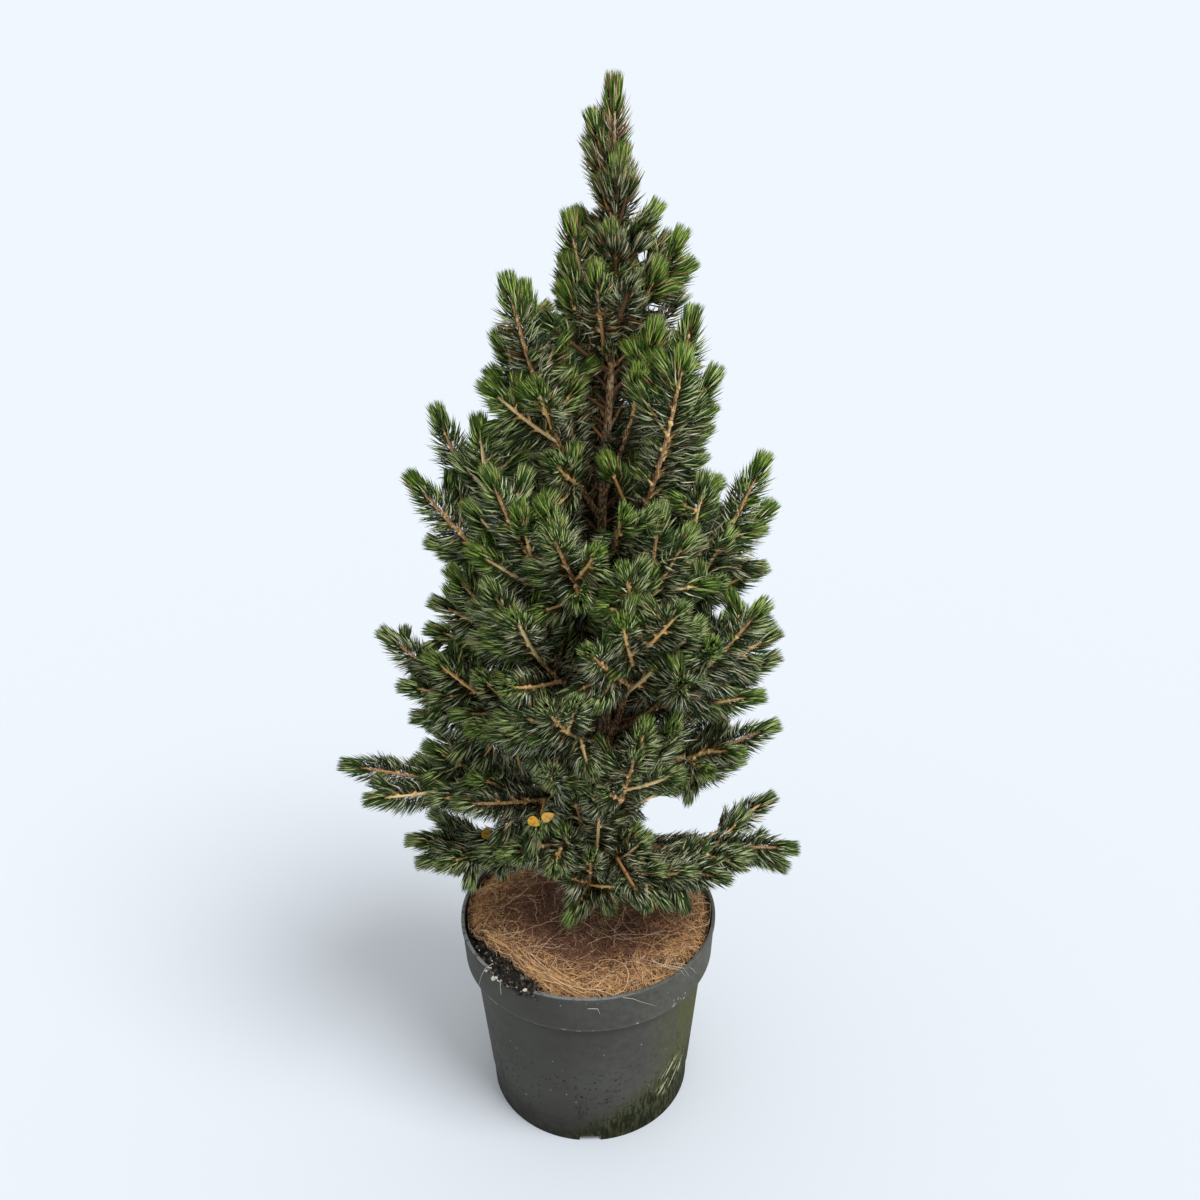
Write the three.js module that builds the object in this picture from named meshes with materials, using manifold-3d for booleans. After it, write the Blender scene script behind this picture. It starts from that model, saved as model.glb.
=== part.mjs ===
// A young spruce in a round nursery pot, with a mat of coconut fibre on its soil.
//
// The pot stands on its flat underside at the origin. The trunk runs up through the crown in one
// piece. Every limb of the tree is worked out from a few sizes: the bearing it grows towards, the
// height of its foot on the trunk, its reach, its rise and the side shoots it carries. A limb of
// the lower crown is a bare tapering bough and the mass of foliage at its end. Higher up the
// needles begin at the trunk, so there a limb is its mass of foliage alone.

import * as THREE from 'three';
import { mergeVertices } from 'three/addons/utils/BufferGeometryUtils.js';
import Module from 'manifold-3d';

const wasm = await Module();
wasm.setup();

// ---------------------------------------------------------------- driving dimensions, mm

const CLEARANCE = 0.3;          // between pieces that touch

const POT = {
  height: 155, baseRadius: 76.5, wall: 1.8, floor: 3,
  ledgeHeight: 22, ledgeRadius: 77.2, wallFootRadius: 78.3, wallTopRadius: 87.6,
  bandBottom: 124.5, bandBottomRadius: 93.4, bandTopRadius: 94.8, lipRadius: 95.5, lipHeight: 3.5,
  slotWidth: 16, slotHeight: 4.6, slots: 4, facets: 28,
};
const SOIL_TOP = 144;
const MAT = { edgeRadius: 91, edgeTop: 152, crest: 158, facets: 26 };
const DRAWN_BACK = { bearing: 222, halfWidth: 30, depth: 11 };   // where the mat bares the soil

// The trunk's axis: how far it stands to the right of the pot's axis and to the back, at each height.
const TRUNK_ROUTE = [
  [8, 0, SOIL_TOP + CLEARANCE], [14, -2, 290], [12, 0, 464], [19, 0, 559], [22.5, 0, 622], [21, 0, 704],
];
const TRUNK_TIP_RADIUS = 1.4;
const TRUNK_FOOT_RADIUS = 6.2;
const FLARE = { extra: 3.6, fade: 13 };

const BOUGH = { footRadius: 3.1, endRadius: 1.9, sides: 5 };
const BARE = 0.27;              // the share of a bough limb's length before its needles begin
const SEAT = 0.004;             // the share left open between a bough and its mass
const SPRAY_RADIUS = 15;        // a limb's needles, measured from its twig
const SHOOT_RADIUS = 14;        // a side shoot's needles
const LEADER_RADIUS = 9;
const LIMB_RINGS = [0, 0.32, 0.8, 1];     // shares of the length at which a mass has its rings
const SHOOT_RINGS = [0, 0.72, 1];

// Each limb: bearing in degrees from +X towards +Y, height of its foot, reach outwards, rise from
// foot to tip, how far it arches out before it turns up, and its side shoots. A side shoot is
// [where along the limb, turn from the limb's bearing, pitch above level, length].
const BOUGH_LIMBS = {
  skirt_right: [346, 212, 144, 22, 0,
    [[0.45, 40, 18, 78], [0.40, -32, 16, 66], [0.70, 48, 10, 34]]],
  skirt_front_right: [324, 205, 110, 27, 0.1,
    [[0.55, -40, -23, 36], [0.36, -58, 6, 56], [0.50, 32, 14, 46]]],
  skirt_left: [192, 214, 143, 27, 0.1,
    [[0.50, 33, 14, 64], [0.60, -38, 20, 50], [0.36, 51, 24, 69]]],
  skirt_front_left: [229, 230, 105, 34, 0.1,
    [[0.40, 35, 12, 52], [0.50, -34, 5, 54]]],
  skirt_back_right: [40, 226, 138, 33, 0.1,
    [[0.36, 42, 15, 66], [0.50, -40, 20, 60], [0.70, 35, 15, 36]]],
  skirt_back: [92, 205, 134, 30, 0.1,
    [[0.36, -42, 15, 66], [0.50, 40, 16, 60], [0.66, -35, 20, 40]]],
  skirt_back_left: [145, 222, 138, 35, 0.1,
    [[0.36, 42, 18, 66], [0.50, -40, 20, 60], [0.68, 38, 15, 38]]],
  lower_front_left: [214, 260, 121, 37, 0.1,
    [[0.40, 54, 16, 60], [0.50, -33, 32, 42], [0.35, 59, 48, 84]]],
  lower_left: [191, 258, 183, 50, 0.1,
    [[0.50, 16, 9, 80], [0.35, 30, 18, 76], [0.45, -31, 12, 60], [0.30, 42, 36, 70],
      [0.36, -1, 37, 74]]],
  lower_right: [353, 270, 122, 55, 0.1,
    [[0.45, -61, 18, 44], [0.32, -67, 15, 46], [0.58, -31, 22, 34], [0.40, 34, 42, 58],
      [0.30, -76, 52, 84]]],
  lower_front_right: [287, 225, 77, 119, 0.1,
    [[0.50, -44, 41, 44], [0.60, 32, 36, 60], [0.34, -50, 46, 60], [0.50, 7, 65, 92]]],
  lower_back_left: [118, 285, 130, 58, 0.1,
    [[0.35, 40, 30, 64], [0.50, -42, 20, 60], [0.70, 35, 30, 36]]],
  middle_front: [250, 300, 110, 90, 0.1,
    [[0.35, -37, 24, 80], [0.60, -44, 26, 56], [0.40, 30, 0, 48], [0.60, 34, 52, 54]]],
  middle_left: [185, 300, 149, 98, 0.15,
    [[0.45, 27, 48, 75], [0.52, 16, 22, 62], [0.32, 12, 12, 84], [0.28, 48, 22, 76],
      [0.28, 52, 47, 92]]],
  middle_right: [331, 305, 114, 130, 0.1,
    [[0.35, 43, 17, 87], [0.42, -62, 34, 74], [0.30, 28, 8, 76], [0.58, -58, 48, 56],
      [0.45, 43, 56, 72]]],
  middle_front_right: [298, 295, 71, 206, 0.15,
    [[0.34, -50, 40, 96], [0.42, -38, 48, 84], [0.46, 0, 46, 84], [0.30, 18, 50, 98],
      [0.56, -48, 58, 72], [0.66, 40, 62, 62]]],
  upper_right: [355, 350, 102, 164, 0.15,
    [[0.50, 16, 46, 73], [0.40, 11, 24, 64], [0.40, -58, 36, 62], [0.35, -55, 73, 114]]],
};

const TRUNK_LIMBS = {
  skirt_front: [242, 197, 56, -19, 0,
    [[0.25, 52, -4, 38]]],
  lower_back_right: [64, 290, 128, 60, 0.1,
    [[0.40, -42, 25, 60], [0.50, 40, 25, 60], [0.70, -35, 30, 36]]],
  middle_front_left: [224, 320, 98, 135, 0.1,
    [[0.36, 22, 24, 84], [0.52, 28, 52, 70], [0.60, -38, 45, 52]]],
  middle_left_high: [193, 335, 102, 111, 0.1,
    [[0.36, -14, 18, 84], [0.52, -8, 30, 66], [0.60, -62, 46, 50]]],
  middle_back_left: [150, 340, 118, 97, 0.1,
    [[0.36, 38, 30, 64], [0.50, -40, 35, 60], [0.70, 30, 45, 40]]],
  middle_back: [92, 350, 116, 92, 0.1,
    [[0.36, -40, 30, 64], [0.50, 40, 35, 60], [0.70, -30, 45, 40]]],
  middle_back_right: [30, 345, 114, 102, 0.1,
    [[0.36, 42, 30, 64], [0.50, -38, 35, 60], [0.70, 30, 45, 40]]],
  upper_left: [187, 375, 122, 130, 0.1,
    [[0.34, -16, 66, 140], [0.55, -14, 20, 46], [0.50, 64, 80, 112]]],
  upper_front_left: [224, 380, 92, 143, 0.15,
    [[0.50, -42, 48, 66], [0.52, 26, 66, 58], [0.36, -16, 38, 74]]],
  upper_front: [251, 400, 94, 96, 0.1,
    [[0.40, -28, 66, 76], [0.50, 44, 44, 54], [0.50, 24, 8, 50]]],
  upper_front_right: [279, 430, 81, 73, 0.1,
    [[0.40, -10, 64, 76], [0.42, 30, 44, 60]]],
  upper_right_high: [314, 425, 69, 163, 0.2,
    [[0.60, 68, 55, 64], [0.50, 62, 44, 50], [0.25, 47, 34, 70], [0.72, 75, 78, 70]]],
  upper_back_left: [135, 420, 88, 110, 0.1,
    [[0.36, 40, 45, 60], [0.50, -40, 45, 55], [0.70, 30, 60, 36]]],
  upper_back_right: [55, 435, 88, 110, 0.1,
    [[0.36, -40, 45, 60], [0.50, 40, 45, 55], [0.70, -30, 60, 36]]],
  crown_right: [312, 480, 47, 121, 0.1,
    [[0.50, -34, 54, 46], [0.60, 76, 46, 52]]],
  crown_left: [209, 465, 61, 160, 0.15,
    [[0.60, -88, 78, 62], [0.36, -2, 42, 68], [0.42, 47, 48, 54], [0.16, 38, 36, 62],
      [0.20, -1, 85, 90]]],
  crown_back: [95, 500, 55, 110, 0.1,
    [[0.40, -45, 50, 46], [0.50, 45, 50, 46]]],
  top_right: [353, 575, 42, 71, 0.1,
    [[0.40, 14, 40, 40], [0.30, -48, 57, 42]]],
  top_left: [205, 565, 33, 54, 0.1,
    [[0.50, -30, 76, 44], [0.10, 52, 66, 66]]],
  top_back: [100, 565, 38, 60, 0.1,
    [[0.30, -60, 50, 40], [0.30, 60, 50, 40]]],
};

// The two masses that go right round the trunk: how high they start and stop, and their shoots as
// [where along the mass, bearing, pitch, length].
const ROUND_THE_TRUNK = {
  top_whorl: [600, 645, LEADER_RADIUS,
    [[0.40, 347, 58, 50], [0.40, 168, 56, 46], [0.45, 262, 52, 38], [0.40, 80, 52, 42]]],
  leader: [646, 726, LEADER_RADIUS,
    [[0.02, 200, 70, 30], [0.04, 275, 68, 38], [0.12, 340, 82, 36], [0.10, 182, 76, 56],
      [0.05, 85, 68, 40]]],
};

// ---------------------------------------------------------------- materials

const finish = (color, roughness) => new THREE.MeshStandardMaterial({ color, roughness, metalness: 0 });
const POT_PLASTIC = finish(0x45453f, 0.6);
const SOIL = finish(0x1d1915, 1);
const COIR = finish(0x8a6440, 0.95);
const BARK = finish(0x6b4f38, 0.9);
const TWIG_BARK = finish(0x8f6238, 0.85);
const NEEDLES = finish(0x35562c, 0.7);

// ---------------------------------------------------------------- solids

function toSolid(geometry) {
  geometry.deleteAttribute('normal');
  geometry.deleteAttribute('uv');
  const merged = mergeVertices(geometry, 1e-4);
  const corners = merged.index.array;
  const triangles = [];
  for (let i = 0; i < corners.length; i += 3) {
    const [a, b, c] = corners.slice(i, i + 3);
    if (a !== b && b !== c && c !== a) triangles.push(a, b, c);
  }
  return new wasm.Manifold(new wasm.Mesh({
    numProp: 3,
    vertProperties: merged.attributes.position.array,
    triVerts: Uint32Array.from(triangles),
  }));
}

function toGeometry(solid) {
  const { vertProperties, triVerts, numProp } = solid.getMesh();
  const corners = new Float32Array(vertProperties.length / numProp * 3);
  for (let i = 0; i * numProp < vertProperties.length; i += 1) {
    corners.set(vertProperties.subarray(i * numProp, i * numProp + 3), i * 3);
  }
  const geometry = new THREE.BufferGeometry();
  geometry.setAttribute('position', new THREE.BufferAttribute(corners, 3));
  geometry.setIndex(new THREE.BufferAttribute(Uint32Array.from(triVerts), 1));
  geometry.computeVertexNormals();
  return geometry;
}

// Cuts every space in the list out of a solid, and keeps the largest body that is left.
function cutFree(solid, spaces) {
  const rest = spaces.reduce((left, space) => left.subtract(space), solid);
  const bodies = rest.decompose();
  return bodies.reduce((largest, body) => (body.volume() > largest.volume() ? body : largest));
}

// Bends a capped cylinder along a path. Its rings stand at the given shares of the path's length,
// each with its own radius. grow widens the solid and lengthens both ends, which gives the space
// that a neighbour must leave free.
function alongPath(path, stations, radiusAt, sides, grow = 0) {
  const rings = stations.length - 1;
  const geometry = new THREE.CylinderGeometry(1, 1, 1, sides, rings);
  const steep = Math.abs(path.getTangentAt(0).z) > 0.95;
  const reference = steep ? new THREE.Vector3(1, 0, 0) : new THREE.Vector3(0, 0, 1);
  const frames = stations.map((share) => {
    const centre = path.getPointAt(share);
    const forward = path.getTangentAt(share);
    const across = forward.clone().cross(reference).normalize();
    const over = across.clone().cross(forward);
    return { centre, forward, across, over, radius: radiusAt(share, centre) + grow };
  });
  const corners = geometry.attributes.position;
  for (let i = 0; i < corners.count; i += 1) {
    const ring = Math.round((corners.getY(i) + 0.5) * rings);
    const { centre, forward, across, over, radius } = frames[ring];
    const lengthened = ring === 0 ? -grow : (ring === rings ? grow : 0);
    const point = centre.clone().addScaledVector(forward, lengthened);
    point.addScaledVector(across, corners.getX(i) * radius);
    point.addScaledVector(over, corners.getZ(i) * radius);
    corners.setXYZ(i, point.x, point.y, point.z);
  }
  return toSolid(geometry);
}

function direction(bearing, pitch) {
  const flat = THREE.MathUtils.degToRad(bearing);
  const up = THREE.MathUtils.degToRad(pitch);
  return new THREE.Vector3(Math.cos(up) * Math.cos(flat), Math.cos(up) * Math.sin(flat), Math.sin(up));
}

// ---------------------------------------------------------------- pot, soil and mat

function turned(profile, facets) {
  const points = profile.map(([radius, height]) => new THREE.Vector2(radius, height));
  return new THREE.LatheGeometry(points, facets).rotateX(Math.PI / 2);
}

// The pot's wall leans out from the base to a step, where the upright band below the lip begins.
const INSIDE = {
  floorRadius: POT.baseRadius - POT.wall,
  stepRadius: POT.wallTopRadius - POT.wall,
  stepHeight: POT.bandBottom + POT.wall,
  shelfRadius: POT.bandBottomRadius - POT.wall,
  mouthRadius: POT.bandTopRadius - POT.wall,
};

function potSolid() {
  const shell = toSolid(turned([
    [0, 0], [POT.baseRadius, 0], [POT.ledgeRadius, POT.ledgeHeight - 1],
    [POT.wallFootRadius, POT.ledgeHeight], [POT.wallTopRadius, POT.bandBottom],
    [POT.bandBottomRadius, POT.bandBottom], [POT.bandTopRadius, POT.height - POT.lipHeight],
    [POT.lipRadius, POT.height - POT.lipHeight], [POT.lipRadius, POT.height],
    [INSIDE.mouthRadius, POT.height], [INSIDE.shelfRadius, INSIDE.stepHeight],
    [INSIDE.stepRadius, INSIDE.stepHeight], [INSIDE.floorRadius, POT.floor], [0, POT.floor],
  ], POT.facets));
  // Each drain slot runs in through the foot of the wall and the rim of the floor.
  const slotInner = POT.baseRadius - 12;
  const slotDepth = 20;
  let solid = shell;
  for (let i = 0; i < POT.slots; i += 1) {
    const slot = new THREE.BoxGeometry(slotDepth, POT.slotWidth, POT.slotHeight * 2);
    slot.translate(slotInner + slotDepth / 2, 0, 0);
    slot.rotateZ((i + 0.5) / POT.slots * 2 * Math.PI + Math.PI / 4);
    solid = solid.subtract(toSolid(slot));
  }
  return solid;
}

function soilSolid() {
  const c = CLEARANCE;
  return toSolid(turned([
    [0, POT.floor + c], [INSIDE.floorRadius - 1.2 * c, POT.floor + c],
    [INSIDE.stepRadius - c, INSIDE.stepHeight + c], [INSIDE.shelfRadius - c, INSIDE.stepHeight + c],
    [INSIDE.shelfRadius - c, SOIL_TOP], [0, SOIL_TOP],
  ], POT.facets));
}

// A low dome with an uneven edge and surface, drawn back on one side so that the soil shows.
function matSolid() {
  const underside = SOIL_TOP + CLEARANCE;
  const geometry = turned([
    [0, underside], [MAT.edgeRadius, underside], [MAT.edgeRadius, MAT.edgeTop - 3],
    [MAT.edgeRadius - 4, MAT.edgeTop], [58, MAT.crest - 2], [28, MAT.crest], [0, MAT.crest + 1],
  ], MAT.facets);
  const corners = geometry.attributes.position;
  for (let i = 0; i < corners.count; i += 1) {
    const [x, y, z] = [corners.getX(i), corners.getY(i), corners.getZ(i)];
    const radius = Math.hypot(x, y);
    const bearing = Math.atan2(y, x);
    const offBare = THREE.MathUtils.radToDeg(bearing) + 360 - DRAWN_BACK.bearing;
    const turn = Math.abs(((offBare + 540) % 360) - 180);
    const drawn = Math.max(0, Math.cos(Math.min(1, turn / DRAWN_BACK.halfWidth) * Math.PI / 2));
    const ragged = 0.9 * Math.sin(bearing * 5 + 1) + 0.6 * Math.sin(bearing * 9);
    const scale = radius > 1 ? 1 + (ragged - 1.5 - DRAWN_BACK.depth * drawn) / MAT.edgeRadius : 1;
    const bumps = radius > 1 ? 0.9 * Math.sin(bearing * 4 + radius / 11) : 0;
    const top = z > underside + 0.01 ? bumps : 0;
    corners.setXYZ(i, x * scale, y * scale, z + top);
  }
  return toSolid(geometry);
}

// ---------------------------------------------------------------- trunk and limbs

const trunkPath = new THREE.CatmullRomCurve3(TRUNK_ROUTE.map(([x, y, z]) => new THREE.Vector3(x, y, z)));
const trunkTop = TRUNK_ROUTE.at(-1)[2];

function trunkRadius(height) {
  const climbed = (height - SOIL_TOP) / (trunkTop - SOIL_TOP);
  const taper = (TRUNK_FOOT_RADIUS - TRUNK_TIP_RADIUS) * (1 - climbed) ** 1.1;
  return TRUNK_TIP_RADIUS + taper + FLARE.extra * Math.exp((SOIL_TOP - height) / FLARE.fade);
}

function trunkSolid(grow = 0) {
  const stations = Array.from({ length: 13 }, (_, ring) => (ring / 12) ** 1.4);
  const whole = alongPath(trunkPath, stations, (_, point) => trunkRadius(point.z), 6, grow);
  // The foot is cut level, whatever way the trunk leans above it.
  const below = new THREE.BoxGeometry(60, 60, 20);
  below.translate(TRUNK_ROUTE[0][0], 0, TRUNK_ROUTE[0][2] - grow - 10);
  return whole.subtract(toSolid(below));
}

function trunkAxis(height) {
  const steps = 400;
  for (let i = 1; i <= steps; i += 1) {
    const point = trunkPath.getPoint(i / steps);
    if (point.z >= height) return point.setZ(height);
  }
  return trunkPath.getPoint(1).setZ(height);
}

// A limb's centre line, from the trunk's axis out to its tip.
function limbPath([bearing, foot, reach, rise, arch]) {
  const start = trunkAxis(foot);
  const outward = direction(bearing, 0);
  const bend = start.clone().addScaledVector(outward, reach * (0.5 + arch));
  bend.z += rise * (0.5 - arch);
  const tip = start.clone().addScaledVector(outward, reach);
  tip.z += rise;
  return new THREE.QuadraticBezierCurve3(start, bend, tip);
}

// The stretch of a path between two shares of its length.
function stretch(path, from, to) {
  const start = path.getPointAt(from);
  const end = path.getPointAt(to);
  const middle = path.getPointAt((from + to) / 2);
  const bend = middle.multiplyScalar(2).addScaledVector(start, -0.5).addScaledVector(end, -0.5);
  return new THREE.QuadraticBezierCurve3(start, bend, end);
}

// How wide the needles stand: close at the foot, full along the twig and a point at the tip.
function brushRadius(along, widest, seed) {
  const opening = Math.min(1, 0.2 + along * 2.6);
  const uneven = 1 + 0.09 * Math.sin(seed * 2.3 + along * 17);
  return along < 1 ? widest * opening * uneven : 0;
}

function shootSolid(start, bearing, pitch, length, seed, grow) {
  const tip = start.clone().addScaledVector(direction(bearing, pitch), length);
  const sag = new THREE.Vector3(0, 0, -0.06 * length);
  const bend = start.clone().lerp(tip, 0.5).add(sag);
  const path = new THREE.QuadraticBezierCurve3(start, bend, tip);
  const widest = SHOOT_RADIUS * Math.min(1, 0.55 + length / 110);
  return alongPath(path, SHOOT_RINGS, (along) => brushRadius(along, widest, seed), 4, grow);
}

function foliageSolid(path, widest, bearing, shoots, seed, grow = 0) {
  const axis = alongPath(path, LIMB_RINGS, (along) => brushRadius(along, widest, seed), 5, grow);
  return shoots.reduce((mass, [along, turn, pitch, length], i) => {
    const start = path.getPointAt(along);
    return mass.add(shootSolid(start, bearing + turn, pitch, length, seed + i + 1, grow));
  }, axis);
}

const object = new THREE.Group();

function addPiece(name, solid, material) {
  const mesh = new THREE.Mesh(toGeometry(solid), material);
  mesh.name = name;
  object.add(mesh);
}

addPiece('pot', potSolid(), POT_PLASTIC);
addPiece('potting_soil', soilSolid(), SOIL);
addPiece('trunk', trunkSolid(), BARK);

const taken = [trunkSolid(CLEARANCE)];
addPiece('coir_mat', cutFree(matSolid(), taken), COIR);

// The boughs come first, so that every mass of foliage is cut round them.
function boughSolid(limb, grow = 0) {
  const path = stretch(limbPath(limb), 0, BARE);
  const radius = (along) => THREE.MathUtils.lerp(BOUGH.footRadius, BOUGH.endRadius, along);
  return alongPath(path, [0, 1], radius, BOUGH.sides, grow);
}
for (const [name, limb] of Object.entries(BOUGH_LIMBS)) {
  addPiece(`bough_${name}`, cutFree(boughSolid(limb), taken), TWIG_BARK);
  taken.push(boughSolid(limb, CLEARANCE));
}

// Each mass leaves free the trunk, the boughs and every mass before it.
function addFoliage(name, ...shape) {
  addPiece(`foliage_${name}`, cutFree(foliageSolid(...shape), taken), NEEDLES);
  taken.push(foliageSolid(...shape, CLEARANCE));
}

let seed = 0;
for (const [name, limb] of Object.entries(BOUGH_LIMBS)) {
  const path = stretch(limbPath(limb), BARE + SEAT, 1);
  const shoots = limb[5].map(([along, ...rest]) => [(along - BARE) / (1 - BARE), ...rest]);
  addFoliage(name, path, SPRAY_RADIUS, limb[0], shoots, seed += 7);
}
for (const [name, limb] of Object.entries(TRUNK_LIMBS)) {
  addFoliage(name, limbPath(limb), SPRAY_RADIUS, limb[0], limb[5], seed += 7);
}
for (const [name, [bottom, top, radius, shoots]] of Object.entries(ROUND_THE_TRUNK)) {
  const path = new THREE.LineCurve3(trunkAxis(bottom), trunkAxis(Math.min(top, trunkTop)).setZ(top));
  addFoliage(name, path, radius, 0, shoots, seed += 7);
}

export default object;
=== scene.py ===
# The finished looks of a young spruce in a nursery pot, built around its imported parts.
import math

import bmesh
import bpy
import numpy as np
from mathutils import Matrix, Vector, noise
from mathutils.bvhtree import BVHTree


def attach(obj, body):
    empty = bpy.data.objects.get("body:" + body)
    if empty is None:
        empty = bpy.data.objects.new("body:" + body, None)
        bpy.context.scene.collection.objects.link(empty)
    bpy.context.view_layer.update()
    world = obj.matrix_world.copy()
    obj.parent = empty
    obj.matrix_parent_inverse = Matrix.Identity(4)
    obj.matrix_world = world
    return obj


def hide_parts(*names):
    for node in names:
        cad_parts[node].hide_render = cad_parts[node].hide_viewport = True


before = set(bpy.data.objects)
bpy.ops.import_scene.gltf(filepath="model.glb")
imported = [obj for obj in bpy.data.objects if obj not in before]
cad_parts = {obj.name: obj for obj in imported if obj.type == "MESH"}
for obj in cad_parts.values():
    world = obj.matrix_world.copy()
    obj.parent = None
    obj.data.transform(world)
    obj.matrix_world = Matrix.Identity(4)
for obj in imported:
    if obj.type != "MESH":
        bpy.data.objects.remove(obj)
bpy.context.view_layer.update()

# -------- the pot
# A round nursery pot, injection moulded in dark grey polypropylene: a leaning wall with a step
# near the base, an upright band below the lip, and four drain slots at the foot of the wall.
# It stands on its underside. The plastic is dusty, green with algae on one side and muddy below.
BAND_FOOT = 0.1245
POT_PROFILE = [
    (0, 0), (0.0765, 0), (0.0772, 0.021), (0.0783, 0.022), (0.0876, BAND_FOOT), (0.0934, BAND_FOOT),
    (0.0948, 0.1515), (0.0955, 0.1515), (0.0955, 0.155), (0.0930, 0.155), (0.0916, 0.1263),
    (0.0858, 0.1263), (0.0747, 0.003), (0, 0.003),
]
MOULDED_EDGE = 0.0006
SLOTS = 4
SLOT = (0.020, 0.016, 0.0092)
SLOT_MIDDLE = 0.0745
PLASTIC = ((0.050, 0.049, 0.041), (0.066, 0.066, 0.056))
PLASTIC_GLOSS = 0.12
DUST_AND_PAINTED_LIGHT = (0.29, 0.285, 0.25)
DIRT = (0.018, 0.018, 0.011)
WORN_LIP = (0.42, 0.44, 0.45)
SCUFFED_AND_EDGE_HIGHLIGHT = (0.42, 0.42, 0.38)
PAINTED_SHADE_UNDER_BAND = (0.020, 0.020, 0.015)
ALGAE_ABOVE = (0.104, 0.106, 0.036)
ALGAE_BELOW = (0.062, 0.068, 0.020)
ALGAE_STREAK = (0.010, 0.014, 0.004)
SCRATCHED = (0.66, 0.64, 0.40)
SCRATCHES_MIDDLE = (0.0620, -0.0505, 0.0390)
WET_SOIL = (0.010, 0.011, 0.006)
PALE_SPECK = (0.45, 0.45, 0.41)


def turned(profile, steps):
    """A closed bmesh, spun about the upright axis from an outline that starts and ends on it."""
    made = bmesh.new()
    points = [made.verts.new((radius, 0, height)) for radius, height in profile]
    lines = [made.edges.new(pair) for pair in zip(points, points[1:])]
    bmesh.ops.spin(made, geom=points + lines, cent=(0, 0, 0), axis=(0, 0, 1), angle=math.tau,
                   steps=steps, use_merge=True)
    bmesh.ops.remove_doubles(made, verts=made.verts, dist=1e-6)
    bmesh.ops.recalc_face_normals(made, faces=made.faces)
    return made


def in_scene(name, data):
    """Puts a mesh, a light or a camera into the scene."""
    made = bpy.data.objects.new(name, data)
    bpy.context.scene.collection.objects.link(made)
    return made


def piece_from(made, name, smooth_below=None):
    """Puts a bmesh into the scene as a piece. Edges flatter than smooth_below degrees shade smooth."""
    mesh = bpy.data.meshes.new(name)
    made.to_mesh(mesh)
    made.free()
    if smooth_below is not None:
        mesh.shade_smooth()
        mesh.set_sharp_from_angle(angle=math.radians(smooth_below))
    return in_scene(name, mesh)


def new_material(name):
    """A material and its Principled shader."""
    made = bpy.data.materials.new(name)
    made.use_nodes = True
    return made, made.node_tree.nodes["Principled BSDF"]


def object_coordinates(shader):
    return shader.id_data.nodes.new("ShaderNodeTexCoord").outputs["Object"]


def feed(node, inputs):
    """Sets a node's inputs. Each is a constant, or the socket that feeds it."""
    for key, value in inputs.items():
        if isinstance(value, bpy.types.NodeSocket):
            node.id_data.links.new(value, node.inputs[key])
        else:
            node.inputs[key].default_value = value


def put(kind, inputs, **fields):
    """Adds a shader node to the tree of the sockets that feed it."""
    tree = next(value.id_data for value in inputs.values() if isinstance(value, bpy.types.NodeSocket))
    made = tree.nodes.new("ShaderNode" + kind)
    for field, value in fields.items():
        setattr(made, field, value)
    feed(made, inputs)
    return made


def maths(operation, *parts, clamp=False):
    return put("Math", dict(enumerate(parts)), operation=operation, use_clamp=clamp).outputs[0]


def times(first, second):
    return maths("MULTIPLY", first, second)


def scaled(value, factor, offset):
    return maths("MULTIPLY_ADD", value, factor, offset)


def blend(share, under, over):
    """One colour laid over another by a share. Each is a socket, or its red, green and blue."""
    under, over = ((*colour, 1) if isinstance(colour, tuple) else colour for colour in (under, over))
    return put("Mix", {0: share, 6: under, 7: over}, data_type="RGBA").outputs[2]


def rising(value, low, high):
    """0 below low and 1 above high, with a soft step between them."""
    inputs = {"Value": value, "From Min": low, "From Max": high}
    return put("MapRange", inputs, interpolation_type="SMOOTHSTEP").outputs["Result"]


def within(value, low, low_full, high_full, high):
    """1 between low_full and high_full, and 0 below low and above high."""
    return times(rising(value, low, low_full), rising(value, high, high_full))


def noisy(at, scale, detail):
    return put("TexNoise", {"Vector": at, "Scale": scale, "Detail": detail}).outputs["Fac"]


def stretched(at, along):
    """Coordinates multiplied by a vector, for streaks and grain."""
    return put("Mapping", {"Vector": at, "Scale": along}).outputs["Vector"]


def length_along(vector):
    return put("VectorMath", {0: vector}, operation="LENGTH").outputs["Value"]


def from_axis(at):
    """How far each place is from the pot's upright axis."""
    x, y, _ = put("SeparateXYZ", {0: at}).outputs
    return length_along(put("CombineXYZ", {0: x, 1: y}).outputs[0])


def raised(height, strength, distance):
    """The normal of a surface with a fine relief."""
    return put("Bump", {"Strength": strength, "Distance": distance, "Height": height}).outputs[0]


def mask_group(name, build):
    """Builds a shader node group that puts out one mask, and gives the function that places it."""
    group = bpy.data.node_groups.new(name, "ShaderNodeTree")
    for socket, kind in (("Vector", "Vector"), ("Scale", "Float"), ("Low", "Float"), ("High", "Float")):
        group.interface.new_socket(socket, in_out="INPUT", socket_type="NodeSocket" + kind)
    group.interface.new_socket("Mask", in_out="OUTPUT", socket_type="NodeSocketFloat")
    entry = group.nodes.new("NodeGroupInput").outputs
    pattern = build({"Vector": entry["Vector"], "Scale": entry["Scale"]})
    feed(group.nodes.new("NodeGroupOutput"), {"Mask": rising(pattern, entry["Low"], entry["High"])})

    def placed(at, scale, low, high):
        inputs = {"Vector": at, "Scale": scale, "Low": low, "High": high}
        return put("Group", inputs, node_tree=group).outputs["Mask"]

    return placed


patches = mask_group("patches", lambda inputs: put(
    "TexNoise", {**inputs, "Detail": 5, "Roughness": 0.6}).outputs["Fac"])
specks = mask_group("specks", lambda inputs: maths(
    "SUBTRACT", 1.0, put("TexVoronoi", inputs).outputs["Distance"]))

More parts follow.
